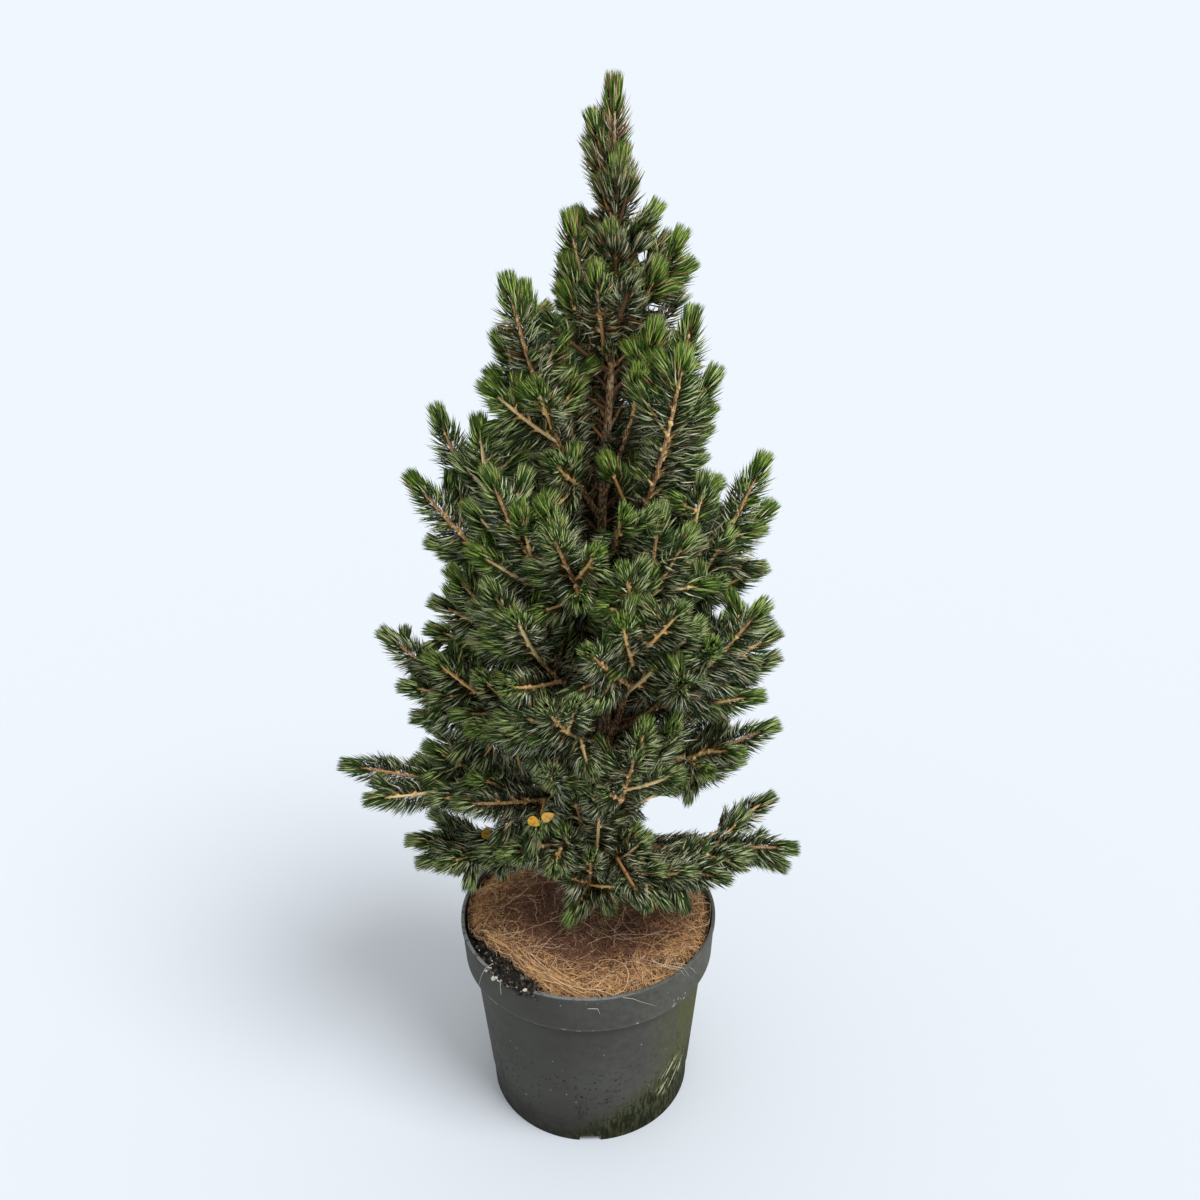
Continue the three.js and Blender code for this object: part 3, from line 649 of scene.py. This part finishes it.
# Each limb: bearing in degrees from +X towards +Y, height of its foot, reach outwards, rise from
# foot to tip, how far it arches out before it turns up, and then its side shoots, as (where along
# the limb, turn from its bearing, pitch above level, length). Lengths are in millimetres.
BOUGH_LIMBS = {
    "skirt_right": (346, 212, 144, 22, 0, (0.45, 40, 18, 78), (0.4, -32, 16, 66), (0.72, 7, -24, 38)),
    "skirt_front_right": (324, 205, 110, 27, 0.1, (0.55, -40, -23, 36), (0.36, -58, 6, 56),
        (0.5, 32, 14, 46)),
    "skirt_left": (192, 214, 143, 27, 0.1, (0.5, 33, 14, 64), (0.6, -38, 20, 50), (0.36, 51, 24, 69),
        (0.6, 6, -4, 52), (0.45, 28, 9, 56)),
    "skirt_front_left": (229, 230, 105, 34, 0.1, (0.4, 35, 12, 52), (0.5, -34, 5, 54)),
    "skirt_back_right": (40, 226, 138, 33, 0.1, (0.36, 42, 15, 66), (0.5, -40, 20, 60), (0.7, 35, 15, 36)),
    "skirt_back": (92, 205, 134, 30, 0.1, (0.36, -42, 15, 66), (0.5, 40, 16, 60), (0.66, -35, 20, 40)),
    "skirt_back_left": (145, 222, 138, 35, 0.1, (0.36, 42, 18, 66), (0.5, -40, 20, 60), (0.68, 38, 15, 38)),
    "lower_front_left": (214, 260, 121, 37, 0.1, (0.4, 54, 16, 60), (0.5, -33, 32, 42), (0.35, 59, 48, 84)),
    "lower_left": (191, 258, 183, 50, 0.1, (0.5, 16, 9, 80), (0.35, 30, 18, 76), (0.45, -31, 12, 60),
        (0.3, 42, 36, 70), (0.36, -1, 37, 74), (0.4, -16, 48, 67)),
    "lower_right": (353, 270, 122, 55, 0.1, (0.45, -61, 18, 44), (0.32, -67, 15, 46), (0.58, -31, 22, 34),
        (0.4, 34, 42, 58), (0.3, -76, 52, 84), (0.5, -96, -32, 39)),
    "lower_front_right": (287, 225, 77, 119, 0.1, (0.5, -44, 41, 44), (0.6, 32, 36, 60),
        (0.34, -50, 46, 60), (0.5, 7, 65, 92)),
    "lower_back_left": (118, 285, 130, 58, 0.1, (0.35, 40, 30, 64), (0.5, -42, 20, 60), (0.7, 35, 30, 36),
        (0.3, 85, -9, 64)),
    "middle_front": (250, 300, 110, 90, 0.1, (0.35, -37, 24, 80), (0.6, -44, 26, 56), (0.4, 30, 0, 48),
        (0.6, 34, 52, 54)),
    "middle_left": (185, 300, 149, 98, 0.15, (0.45, 27, 48, 75), (0.52, 16, 22, 62), (0.32, 12, 12, 84),
        (0.28, 48, 22, 76), (0.28, 52, 47, 92)),
    "middle_right": (331, 305, 114, 130, 0.1, (0.35, 43, 17, 87), (0.42, -62, 34, 74), (0.3, 28, 8, 76),
        (0.58, -58, 48, 56), (0.45, 43, 56, 72), (0.5, 49, 23, 72)),
    "middle_front_right": (298, 295, 71, 206, 0.15, (0.34, -50, 40, 96), (0.42, -38, 48, 84),
        (0.46, 0, 46, 84), (0.3, 18, 50, 98), (0.56, -48, 58, 72), (0.66, 40, 62, 62)),
    "upper_right": (355, 350, 102, 164, 0.15, (0.5, 16, 46, 73), (0.4, 11, 24, 64), (0.4, -58, 36, 62),
        (0.35, -55, 73, 114), (0.3, -5, 73, 105), (0.45, -3, 62, 56)),
}
TRUNK_LIMBS = {
    "skirt_front": (242, 197, 56, -19, 0, (0.25, 52, -4, 38), (0.12, 54, 67, 147), (0.3, -3, 62, 90),
        (0.3, 84, 31, 76), (0.2, 36, 68, 102), (0.3, 86, 51, 80), (0.3, 29, 56, 66), (0.35, 60, 34, 62),
        (0.3, -1, 40, 54), (0.2, 79, 58, 80), (0.15, 1, 70, 103), (0.3, 88, 27, 96)),
    "lower_back_right": (64, 290, 128, 60, 0.1, (0.4, -42, 25, 60), (0.5, 40, 25, 60), (0.7, -35, 30, 36),
        (0.3, -123, 24, 32)),
    "middle_front_left": (224, 320, 98, 135, 0.1, (0.36, 22, 24, 84), (0.52, 28, 52, 70),
        (0.6, -38, 45, 52)),
    "middle_left_high": (193, 335, 102, 111, 0.1, (0.36, -14, 18, 84), (0.52, -8, 30, 66),
        (0.6, -62, 46, 50)),
    "middle_back_left": (150, 340, 118, 97, 0.1, (0.36, 38, 30, 64), (0.5, -40, 35, 60), (0.7, 30, 45, 40)),
    "middle_back": (92, 350, 116, 92, 0.1, (0.36, -40, 30, 64), (0.5, 40, 35, 60), (0.7, -30, 45, 40),
        (0.5, 103, 87, 100), (0.4, 85, 83, 102)),
    "middle_back_right": (30, 345, 114, 102, 0.1, (0.36, 42, 30, 64), (0.5, -38, 35, 60),
        (0.7, 30, 45, 40)),
    "upper_left": (187, 375, 122, 130, 0.1, (0.45, -21, 69, 124), (0.55, -14, 20, 46), (0.5, 64, 80, 112)),
    "upper_front_left": (224, 380, 92, 143, 0.15, (0.5, -42, 48, 66), (0.52, 26, 66, 58),
        (0.36, -16, 38, 74), (0.3, -149, 81, 104)),
    "upper_front": (251, 400, 94, 96, 0.1, (0.4, -28, 66, 76), (0.5, 44, 44, 54), (0.5, 24, 8, 50)),
    "upper_front_right": (279, 430, 81, 73, 0.1, (0.42, 30, 44, 60)),
    "upper_right_high": (314, 425, 69, 163, 0.2, (0.6, 68, 55, 64), (0.5, 62, 44, 50), (0.25, 47, 34, 70),
        (0.72, 75, 78, 70), (0.3, -88, 62, 63)),
    "upper_back_left": (135, 420, 88, 110, 0.1, (0.36, 40, 45, 60), (0.5, -40, 45, 55), (0.7, 30, 60, 36)),
    "upper_back_right": (55, 435, 88, 110, 0.1, (0.36, -40, 45, 60), (0.5, 40, 45, 55), (0.7, -30, 60, 36)),
    "crown_right": (312, 480, 47, 121, 0.1, (0.5, -34, 54, 46), (0.6, 76, 46, 52)),
    "crown_left": (209, 465, 61, 160, 0.15, (0.6, -88, 78, 62), (0.36, -2, 42, 68), (0.42, 47, 48, 54),
        (0.16, 38, 36, 62), (0.2, -1, 85, 90), (0.30, -27, 52, 75), (0.34, -32, 63, 84)),
    "crown_back": (95, 500, 55, 110, 0.1, (0.4, -45, 50, 46), (0.5, 45, 50, 46)),
    "top_right": (353, 575, 42, 71, 0.1, (0.4, 14, 40, 40), (0.3, -48, 57, 42)),
    "top_left": (205, 565, 33, 54, 0.1, (0.5, -30, 76, 44), (0.1, 52, 66, 66), (0.3, -30, 80, 78)),
    "top_back": (100, 565, 38, 60, 0.1, (0.3, -60, 50, 40), (0.3, 60, 50, 40)),
}


def heading(bearing, pitch):
    flat, up = math.radians(bearing), math.radians(pitch)
    return np.array([math.cos(up) * math.cos(flat), math.cos(up) * math.sin(flat), math.sin(up)])


def curve(start, bend, tip):
    share = np.linspace(0, 1, 33)[:, None]
    return (1 - share) ** 2 * start + 2 * share * (1 - share) * bend + share**2 * tip


def length_of(line):
    return np.linalg.norm(np.diff(line, axis=0), axis=1).sum()


def walk(line, distances):
    """Where a line is at the given distances from its foot, and which way it heads there."""
    travelled = np.concatenate([[0], np.cumsum(np.linalg.norm(np.diff(line, axis=0), axis=1))])
    follow = [np.stack([np.interp(distances, travelled, track[:, side]) for side in range(3)], axis=-1)
              for track in (line, unit(np.gradient(line, axis=0)))]
    return follow[0], unit(follow[1])


def limb_line(bearing, foot, reach, rise, arch):
    start = trunk_axis(foot * MM)
    outward = heading(bearing, 0) * reach * MM
    upward = np.array([0, 0, rise * MM])
    return curve(start, start + outward * (0.5 + arch) + upward * (0.5 - arch), start + outward + upward)


def shoot_line(start, way, length):
    tip = start + way * length
    return curve(start, (start + tip) / 2 - np.array([0, 0, SHOOT_SAG * length]), tip)


def twig_radius(from_tip):
    return TWIG_TIP + TWIG_TAPER * from_tip


BOUGH_BARK = bark_material(
    "bough_bark", (0.60, 0.335, 0.130), (0.17, 0.080, 0.036), (0.84, 0.58, 0.290), (0.10, 0.046, 0.020),
    grows=(1, 1, 0), change_from=0.020, change_to=0.085, wander=0.030)
limbs = {}
for name, (bearing, foot, reach, rise, arch, *side_shoots) in {**BOUGH_LIMBS, **TRUNK_LIMBS}.items():
    line = limb_line(bearing, foot, reach, rise, arch)
    length = length_of(line) - TIP_NEEDLES
    distances = np.linspace(0, length, max(12, int(length / LIMB_STATION)))
    collar = 1 + COLLAR_SWELLING * np.exp(-distances / COLLAR_LENGTH)
    middle, _ = walk(line, distances)
    limb = stem(f"limb_{name}", middle, twig_radius(length - distances) * collar, sides=9,
                relief=LIMB_RELIEF, material=BOUGH_BARK)
    if name in BOUGH_LIMBS:
        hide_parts(f"bough_{name}")
    limbs[name] = (line, bearing, side_shoots)

# -------- the twigs
# Side shoots of one to three summers' growth, orange-tan and lumpy, with a pale knot of old bud
# scales where each summer's growth began. They leave a limb by turns to its left and right,
# as far as the crown has room for them.
SUMMER = 0.019
TWIG_STATIONS = 12
SHOOT_SPACING = (0.005, 0.009)
SHOOT_LEAN = (40, 60)
LONGEST_SHOOT = 0.046
SHORTEST_SHOOT = 0.015
BARE = 0.27
SKIRT_BARE = 0.14
# The shoots of the top whorl and the leader: from and to which height, and each shoot's place along
# it, bearing, pitch and length.
ROUND_THE_TRUNK = {
    "top_whorl": (600, 645, (0.40, 347, 58, 50), (0.40, 168, 56, 46), (0.45, 262, 52, 38),
        (0.40, 80, 52, 42)),
    "leader": (646, 726, (0.02, 200, 70, 30), (0.04, 275, 68, 38), (0.12, 340, 82, 36),
        (0.10, 182, 76, 56), (0.05, 85, 68, 40)),
}
# Short shoots fill the inside of the crown from the trunk. They stand all round its foot and its
# top, and behind it in between, where its front is bare.
INNER = (0.180, 0.665)
INNER_SPACING = 0.0020
INNER_SHORTEST = 0.022
BARE_FRONT = (0.245, 0.560)
GOLDEN_DEGREES = 137.5
# The crown is open to the front in a few places. Each is an oval tunnel that narrows towards a viewer's
# eye: the middle of its mouth on the plane through the pot's axis, across and up, and its half sizes.
EYE = (0.011, -0.666, 0.703)
TRUNK_SHOWS = [(0.0175, 0.540, 0.008, 0.020), (0.0125, 0.477, 0.010, 0.022)]
SKY_SHOWS = [(0.0552, 0.2402, 0.0140, 0.0140), (0.0850, 0.2370, 0.0110, 0.0110)]
CHINKS = [(0.038, 0.627, 0.004, 0.004), (0.0445, 0.598, 0.003, 0.003), (0.0735, 0.4735, 0.003, 0.003)]
TWIG_SHADES = plain_materials(0.7, 0.3, {
    "twig_orange": (0.86, 0.53, 0.195), "twig_tan": (0.93, 0.70, 0.35),
    "twig_brown": (0.50, 0.265, 0.105), "twig_dark": (0.17, 0.082, 0.036),
    "knot_pale": (0.88, 0.60, 0.27),
})
random = np.random.default_rng(31)
crown = [BVHTree.FromPolygons([corner.co for corner in node.data.vertices],
                              [face.vertices for face in node.data.polygons])
         for name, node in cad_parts.items() if name.startswith("foliage_")]


def in_crown(point, slack):
    """True if a point is within the crown's masses, or no further than slack outside them."""
    for mass in crown:
        spot, outwards, _, away = mass.find_nearest(point, 0.03)
        if spot is not None and (away < slack or (Vector(point) - spot).dot(outwards) < 0):
            return True
    return False


def lit_side(spots, ahead):
    """For points on the tree, the way to their lit side: up and out, and to the front, where the plant
    stood turned to the light. It is square to where the shoot heads."""
    outward = spots - trunk_axis(spots[..., 2])
    outward[..., 2] = 0
    light = unit(outward) * 0.45 + np.array([0.05, -0.60, 0.60])
    return unit(light - ahead * (light * ahead).sum(-1, keepdims=True))


def in_opening(points, openings, slack=0.0):
    """For each point, whether it lies in one of the openings, or within slack of it."""
    x, y, z = np.moveaxis(points, -1, 0)
    reach = EYE[1] / (EYE[1] - y)
    across = EYE[0] + (x - EYE[0]) * reach
    up = EYE[2] + (z - EYE[2]) * reach
    inside = np.zeros(points.shape[:-1], bool)
    for middle, height, half_width, half_height in openings:
        off = ((across - middle) / (half_width + slack)) ** 2 + ((up - height) / (half_height + slack)) ** 2
        inside |= off < 1
    return inside


def clear_of_openings(line):
    """Whether a shoot stands neither before the bare trunk nor in the way of the sky."""
    ahead_of_trunk = line[:, 1] < trunk_axis(line[:, 2])[:, 1] - 0.004
    before_trunk = in_opening(line, TRUNK_SHOWS, 0.006) & ahead_of_trunk
    return not (in_opening(line, SKY_SHOWS, 0.001).any() or before_trunk.any())


def fitted_shoot(start, way, reach, shortest, slack):
    """A shoot shortened until it ends within the crown, in a list, which is empty if it has no room."""
    while reach > shortest and not in_crown(start + way * reach, slack):
        reach *= 0.85
    shoot = shoot_line(start, way, reach)
    return [shoot] if reach > shortest and clear_of_openings(shoot) else []


def side_shoots_of(line, bare):
    """Shoots that leave a line by turns on either side of it, shorter towards its tip."""
    length = length_of(line)
    side = random.choice((-1, 1))
    distance = bare + random.uniform(0.002, 0.010)
    grown = []
    while distance < length - SUMMER:
        start, ahead = walk(line, distance)
        light = lit_side(start, ahead)
        lean = math.radians(random.uniform(*SHOOT_LEAN))
        sideways = unit(np.cross(ahead, light) * side + light * random.uniform(-0.90, 0.08))
        way = ahead * math.cos(lean) + sideways * math.sin(lean)
        reach = min(LONGEST_SHOOT, (length - distance) * 0.6 + 0.010) * random.uniform(0.8, 1.1)
        grown += fitted_shoot(start, way, reach, SHORTEST_SHOOT, 0.001)
        side = -side
        distance += random.uniform(*SHOOT_SPACING)
    return grown


def main_shoots(line, bare, bearing, side_shoots):
    """A line and the side shoots that are set out on it, each with the length at its foot that carries
    no needles and its kind."""
    grown = [(line, bare, "main")]
    for share, turn, pitch, length in side_shoots:
        start, _ = walk(line, share * length_of(line))
        grown.append((shoot_line(start, heading(bearing + turn, pitch), length * MM), 0.004, "main"))
    return grown


def twigs_from(name, shoots, odds=(0.5, 0.3, 0.2, 0.0), knot=4):
    """One piece of the twigs of many shoots, each an uneven tube with its knots."""
    lines = [shoot[0] for shoot in shoots]
    reach = np.array([length_of(line) for line in lines]) - TIP_NEEDLES
    share = np.linspace(0, 1, TWIG_STATIONS)
    paths = np.stack([walk(line, share * far)[0] for line, far in zip(lines, reach)])
    uneven = random.uniform(0.86, 1.16, (len(lines), TWIG_STATIONS))
    light = lit_side(paths[:, 4], unit(paths[:, 5] - paths[:, 4]))
    radii = twig_radius(reach[:, None] * (1 - share)) * uneven
    points, triangles = tubes(paths, radii, 5, light[:, None])
    shades = np.repeat(random.choice(4, len(lines), p=odds), len(triangles) // len(lines))
    knots, sizes = [], []
    for line, far in zip(lines, reach):
        places = np.append(np.arange(far - 0.006, 0.004, -SUMMER), 0.001)
        places += random.uniform(-0.002, 0.002, len(places))
        knots.append(walk(line, places)[0])
        sizes.append(twig_radius(far - places) * random.uniform(1.2, 1.6, len(places)))
    knots, sizes = np.vstack(knots), np.concatenate(sizes)[:, None] * np.array([1, 1, 1.25])
    knot_points, knot_triangles = lumps_at(knots, sizes, random)
    joined(name, np.vstack([points, knot_points]), np.vstack([triangles, knot_triangles + len(points)]),
           np.concatenate([shades, np.full(len(knot_triangles), knot)]), TWIG_SHADES, "twig_bark")


# Each mass: its lines that carry needles, each with the length at its foot that carries none, and
# whether it is a main shoot or a small one.
masses = {}
for name, (line, bearing, side_shoots) in limbs.items():
    bare = SKIRT_BARE if name.startswith("skirt") else BARE
    foot = bare * length_of(line) if name in BOUGH_LIMBS else 0.008
    main = main_shoots(line, foot, bearing, side_shoots)
    small = [(shoot, 0.003, "small") for grown, foot, _ in main for shoot in side_shoots_of(grown, foot)]
    twigs_from(f"twigs_{name}", main[1:] + small)
    masses[name] = main + small
for name, (bottom, top, *shoots) in ROUND_THE_TRUNK.items():
    line = trunk_axis(np.linspace(bottom, min(top, TRUNK_TIP / MM), 12) * MM)
    line[-1, 2] = top * MM
    masses[name] = main_shoots(line, 0.0, 0, shoots)
    twigs_from(f"twigs_{name}", masses[name][1:])

masses["inner"] = []
for number, height in enumerate(np.arange(*INNER, INNER_SPACING)):
    climbed = (height - INNER[0]) / (INNER[1] - INNER[0])
    behind = BARE_FRONT[0] < height < BARE_FRONT[1]
    bearing = 5 + (number * GOLDEN_DEGREES) % (170 if behind else 360)
    reach = 0.090 - 0.055 * climbed + random.uniform(0, 0.025)
    way = heading(bearing, -12 + 68 * climbed + random.uniform(-8, 16))
    for shoot in fitted_shoot(trunk_axis(height), way, reach, INNER_SHORTEST, 0.010 if behind else 0.003):
        masses["inner"].append((shoot, 0.005, "inner"))
twigs_from("twigs_inner", masses["inner"], (0.02, 0.02, 0.22, 0.74), knot=3)

# -------- the needles
# Stiff, slightly curved needles that stand all round a shoot on little pegs. They part on its lit
# side, where the twig shows, sweep forwards, and close to a tight bright green tuft at its tip.
# Their faces are green, and one is dulled by a whitish bloom; its pale colour is partly painted highlight.
NEEDLE_LENGTH = 0.0162
NEEDLE_BREADTH = 0.00112
TUFT_BEGINS, TUFT_CLOSES = 0.019, 0.003
BEND = 0.45
PARTING = (math.radians(60), math.radians(168))
LEAN, UPRIGHT_LEAN, TUFT_LEAN = 64, 44, 30
GOLDEN_TURN = math.pi * (3 - math.sqrt(5))
# The crown's top begins at this height. Below it the sprays grow darker, and above it warmer.
TOP = 0.560
DARKENS_OVER = 0.350
WARMS_OVER = 0.060
# Each kind of shoot: needles a metre, needles in its tuft, and how many summers older its needles
# look than their place behind the tip tells, at least and at most.
KINDS = {"main": (7600, 58, (-0.1, 0.9)), "small": (6200, 46, (0.1, 1.5)), "inner": (3600, 26, (1.4, 2.6))}
# Greens by age, from this spring's to the oldest, each with the paler green of its bloomed side, partly
# painted highlight, and at how many summers' growth behind the tip one gives way to the next.
NEEDLE_SHADES = {
    "fresh": ((0.056, 0.122, 0.008), (0.340, 0.465, 0.078)),
    "young": ((0.043, 0.097, 0.009), (0.410, 0.545, 0.135)),
    "middle": ((0.030, 0.065, 0.010), (0.500, 0.575, 0.250)),
    "deep": ((0.020, 0.038, 0.010), (0.455, 0.490, 0.290)),
    "bluish": ((0.031, 0.053, 0.025), (0.780, 0.780, 0.560)),
    "old": ((0.028, 0.027, 0.011), (0.290, 0.245, 0.150)),
    "dry": ((0.170, 0.090, 0.036), (0.500, 0.330, 0.160)),
}
AGES = (0.30, 0.95, 1.90)
SHADE_NUMBER = {name: number for number, name in enumerate(NEEDLE_SHADES)}
NEEDLE_GREENS = []
for name, (green, bloom_and_highlight) in NEEDLE_SHADES.items():
    NEEDLE_GREENS += plain_materials(0.5, 0.25, {f"needle_{name}": green})
    NEEDLE_GREENS += plain_materials(0.6, 0.25, {f"needle_{name}_bloom": bloom_and_highlight})


def needles_on(line, bare, kind, upright):
    """The needles along one shoot: where each stands, its way at foot and tip, its size and shade."""
    a_metre, in_tuft, ageing = KINDS[kind]
    length = length_of(line) - TIP_NEEDLES
    count = max(4, int((length - bare) * a_metre))
    along = bare + (length - bare) * (np.arange(count) + random.uniform(0, 1, count)) / count
    along = np.concatenate([along, length - random.uniform(0, 0.004, in_tuft)])
    count = len(along)
    spots, ahead = walk(line, along)
    light = lit_side(spots, ahead)
    across = np.cross(ahead, light)
    to_tip = np.clip((along - length + TUFT_BEGINS) / (TUFT_BEGINS - TUFT_CLOSES), 0, 1)
    turn = (np.arange(count) * GOLDEN_TURN + random.normal(0, 0.2, count)) % math.tau - math.pi
    parted = PARTING[0] + (PARTING[1] - PARTING[0]) * np.abs(turn) / math.pi
    turn = np.sign(turn) * (parted * (1 - to_tip) + np.abs(turn) * to_tip)
    radial = light * np.cos(turn)[:, None] + across * np.sin(turn)[:, None]
    lean = np.radians((UPRIGHT_LEAN if upright else LEAN) + random.normal(0, 10, count))
    tuft_lean = np.radians(TUFT_LEAN * np.sqrt(random.uniform(0, 1, count)))
    lean = lean * (1 - to_tip) + tuft_lean * to_tip
    way = ahead * np.cos(lean)[:, None] + radial * np.sin(lean)[:, None]
    onward = way + ahead * (0.55 + 1.2 * to_tip)[:, None] - np.array([0, 0, 0.30])
    onward = unit(onward + random.normal(0, 0.14, (count, 3)))
    size = NEEDLE_LENGTH * random.uniform(0.88, 1.06, count)
    size = np.where(to_tip < 1, size, (length + TIP_NEEDLES - along) * random.uniform(0.90, 1.0, count))
    size *= np.clip(0.7 + (along - bare) / 0.030, 0.7, 1)
    near_top = np.clip((spots[:, 2] - TOP) / WARMS_OVER, 0, 1)
    spots = spots + radial * (twig_radius(length - along) * 0.7)[:, None]
    age = (length - along) / SUMMER + random.uniform(*ageing) + random.normal(0, 0.30, count)
    shaded = np.clip((TOP - spots[:, 2]) / DARKENS_OVER, 0, 1)
    age += 1.05 * shaded - 0.15
    shade = np.digitize(age, AGES)
    bloomed = random.uniform(0, 0.45 + 0.30 * shaded[0]) * (1 - to_tip)
    shade = np.where(random.uniform(0, 1, count) < bloomed, SHADE_NUMBER["bluish"], shade)
    shade = np.where(random.uniform(1, 9, count) < age - 1.6, SHADE_NUMBER["old"], shade)
    sheltered = np.exp(-np.linalg.norm((spots - trunk_axis(spots[:, 2]))[:, :2], axis=1) / 0.030)
    withered = 0.022 + 0.20 * sheltered + 0.13 * near_top * (1 - to_tip)
    shade = np.where(random.uniform(0, 1, count) < withered, SHADE_NUMBER["dry"], shade)
    tips = spots + way * size[:, None]
    open_air = SKY_SHOWS + CHINKS
    free = ~(in_opening(tips, open_air) | in_opening((spots + tips) / 2, open_air)
             | in_opening(tips, TRUNK_SHOWS) & (tips[:, 1] < 0))
    return spots[free], way[free], onward[free], size[free], shade[free]


def needles_from(name, grown):
    """One piece of all the needles of a mass: three-sided, bent near their middle and pointed."""
    spots, way, onward, size, shade = (np.concatenate(part) for part in zip(*grown))
    count = len(spots)
    broad = unit(np.cross(way, random.normal(0, 1, (count, 3))))
    deep = np.cross(way, broad)
    width = NEEDLE_BREADTH / 2 * random.uniform(0.88, 1.12, (count, 1))
    bend = spots + way * (size * BEND)[:, None]
    points = np.empty((count, 5, 3))
    points[:, 0] = spots
    for corner in range(3):
        angle = corner * math.tau / 3
        points[:, corner + 1] = bend + (broad * math.cos(angle) + deep * math.sin(angle)) * width
    points[:, 4] = bend + onward * (size * (1 - BEND))[:, None]
    faces = [(0, 2, 1), (1, 2, 4), (0, 3, 2), (2, 3, 4), (0, 1, 3), (3, 1, 4)]
    # The last face takes the pale green of bloom and painted highlight.
    bloomed = np.array([0, 0, 0, 0, 1, 1])
    shades = (shade[:, None] * 2 + bloomed).ravel()
    return joined(name, points.reshape(-1, 3), copies(faces, count, 5), shades, NEEDLE_GREENS, "needles")


for name, lines in masses.items():
    upright = name in ROUND_THE_TRUNK
    foliage = needles_from(f"needles_{name}", [needles_on(*line, upright) for line in lines])
    if name != "inner":
        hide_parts(f"foliage_{name}")

# -------- the fallen leaves
# Three small yellow leaves of some other tree, dry and slightly cupped ovals. They dropped onto
# the lower sprays and lie caught among the needles there.
LEAF = (0.0042, 0.0030, 0.00025)
LEAF_CUP = 45
LEAF_NARROWS = 0.35
LEAF_YELLOW = ((0.56, 0.31, 0.020), (0.32, 0.15, 0.014))
# Where each leaf lies, and how far it is tipped forwards, tipped sideways and turned, in degrees.
LEAVES = [
    ((-0.0239, -0.0768, 0.2905), 42, 12, 25),
    ((-0.0320, -0.0851, 0.2927), 50, -14, -30),
    ((-0.0692, -0.0356, 0.2488), 40, 8, 80),
]
dry_leaf, shader = new_material("leaf_yellow")
spotted = patches(object_coordinates(shader), 420, 0.48, 0.66)
feed(shader, {"Base Color": blend(spotted, *LEAF_YELLOW), "Roughness": 0.55})
leaves = bmesh.new()
for place, *tilts in LEAVES:
    lie = Matrix.Translation(place)
    for tilt, axis in zip(tilts, "XYZ"):
        lie = lie @ Matrix.Rotation(math.radians(tilt), 4, axis)
    ball = bmesh.ops.create_icosphere(leaves, subdivisions=3, radius=1)["verts"]
    for corner in ball:
        x, y, z = (part * size for part, size in zip(corner.co, LEAF))
        narrowed = y * (1 - LEAF_NARROWS * corner.co.x)
        corner.co = lie @ Vector((x, narrowed, z + LEAF_CUP * (x * x + y * y)))
leaves = piece_from(leaves, "fallen_leaves", smooth_below=80)
leaves.data.materials.append(dry_leaf)
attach(leaves, "root")

# -------- floor, light and camera
# A seamless pale floor and backdrop, lit softly from all round with a broad key light from the
# right and the front. The camera looks down on the plant.
BACKDROP = (0.871, 0.930, 1.0)
FLOOR_PAPER = (0.744, 0.795, 0.855)
SOFT_LIGHT = 0.66
KEY_LIGHT = 1.93
KEY_BREADTH = math.radians(30)
KEY_FROM = (0.45, -0.35, 0.85)
LENS, SENSOR = 33, 36
CAMERA_PITCH = math.radians(66.14)
CAMERA_ROLL = math.radians(-0.53)
floor = bmesh.new()
bmesh.ops.create_grid(floor, x_segments=1, y_segments=1, size=40)
floor = piece_from(floor, "floor")
floor.data.materials.append(*plain_materials(1, 0, {"floor_paper": FLOOR_PAPER}))

world = bpy.data.worlds.new("studio")
bpy.context.scene.world = world
world.use_nodes = True
nodes = world.node_tree.nodes
backdrop = nodes["Background"]
feed(backdrop, {"Color": (*BACKDROP, 1)})
soft = nodes.new("ShaderNodeBackground")
feed(soft, {"Color": (1, 1, 1, 1), "Strength": SOFT_LIGHT})
seen = nodes.new("ShaderNodeLightPath").outputs["Is Camera Ray"]
mixed = put("MixShader", {0: seen, 1: soft.outputs[0], 2: backdrop.outputs[0]})
feed(nodes["World Output"], {"Surface": mixed.outputs[0]})

key = bpy.data.lights.new("key", "SUN")
key.energy, key.angle = KEY_LIGHT, KEY_BREADTH
in_scene("key", key).rotation_euler = Vector(KEY_FROM).to_track_quat("Z", "Y").to_euler()

lens = bpy.data.cameras.new("camera")
lens.lens, lens.sensor_width = LENS, SENSOR
camera = in_scene("camera", lens)
camera.matrix_world = (Matrix.Translation(EYE) @ Matrix.Rotation(CAMERA_PITCH, 4, "X")
                       @ Matrix.Rotation(CAMERA_ROLL, 4, "Z"))
bpy.context.scene.camera = camera
bpy.context.scene.view_settings.view_transform = "Standard"
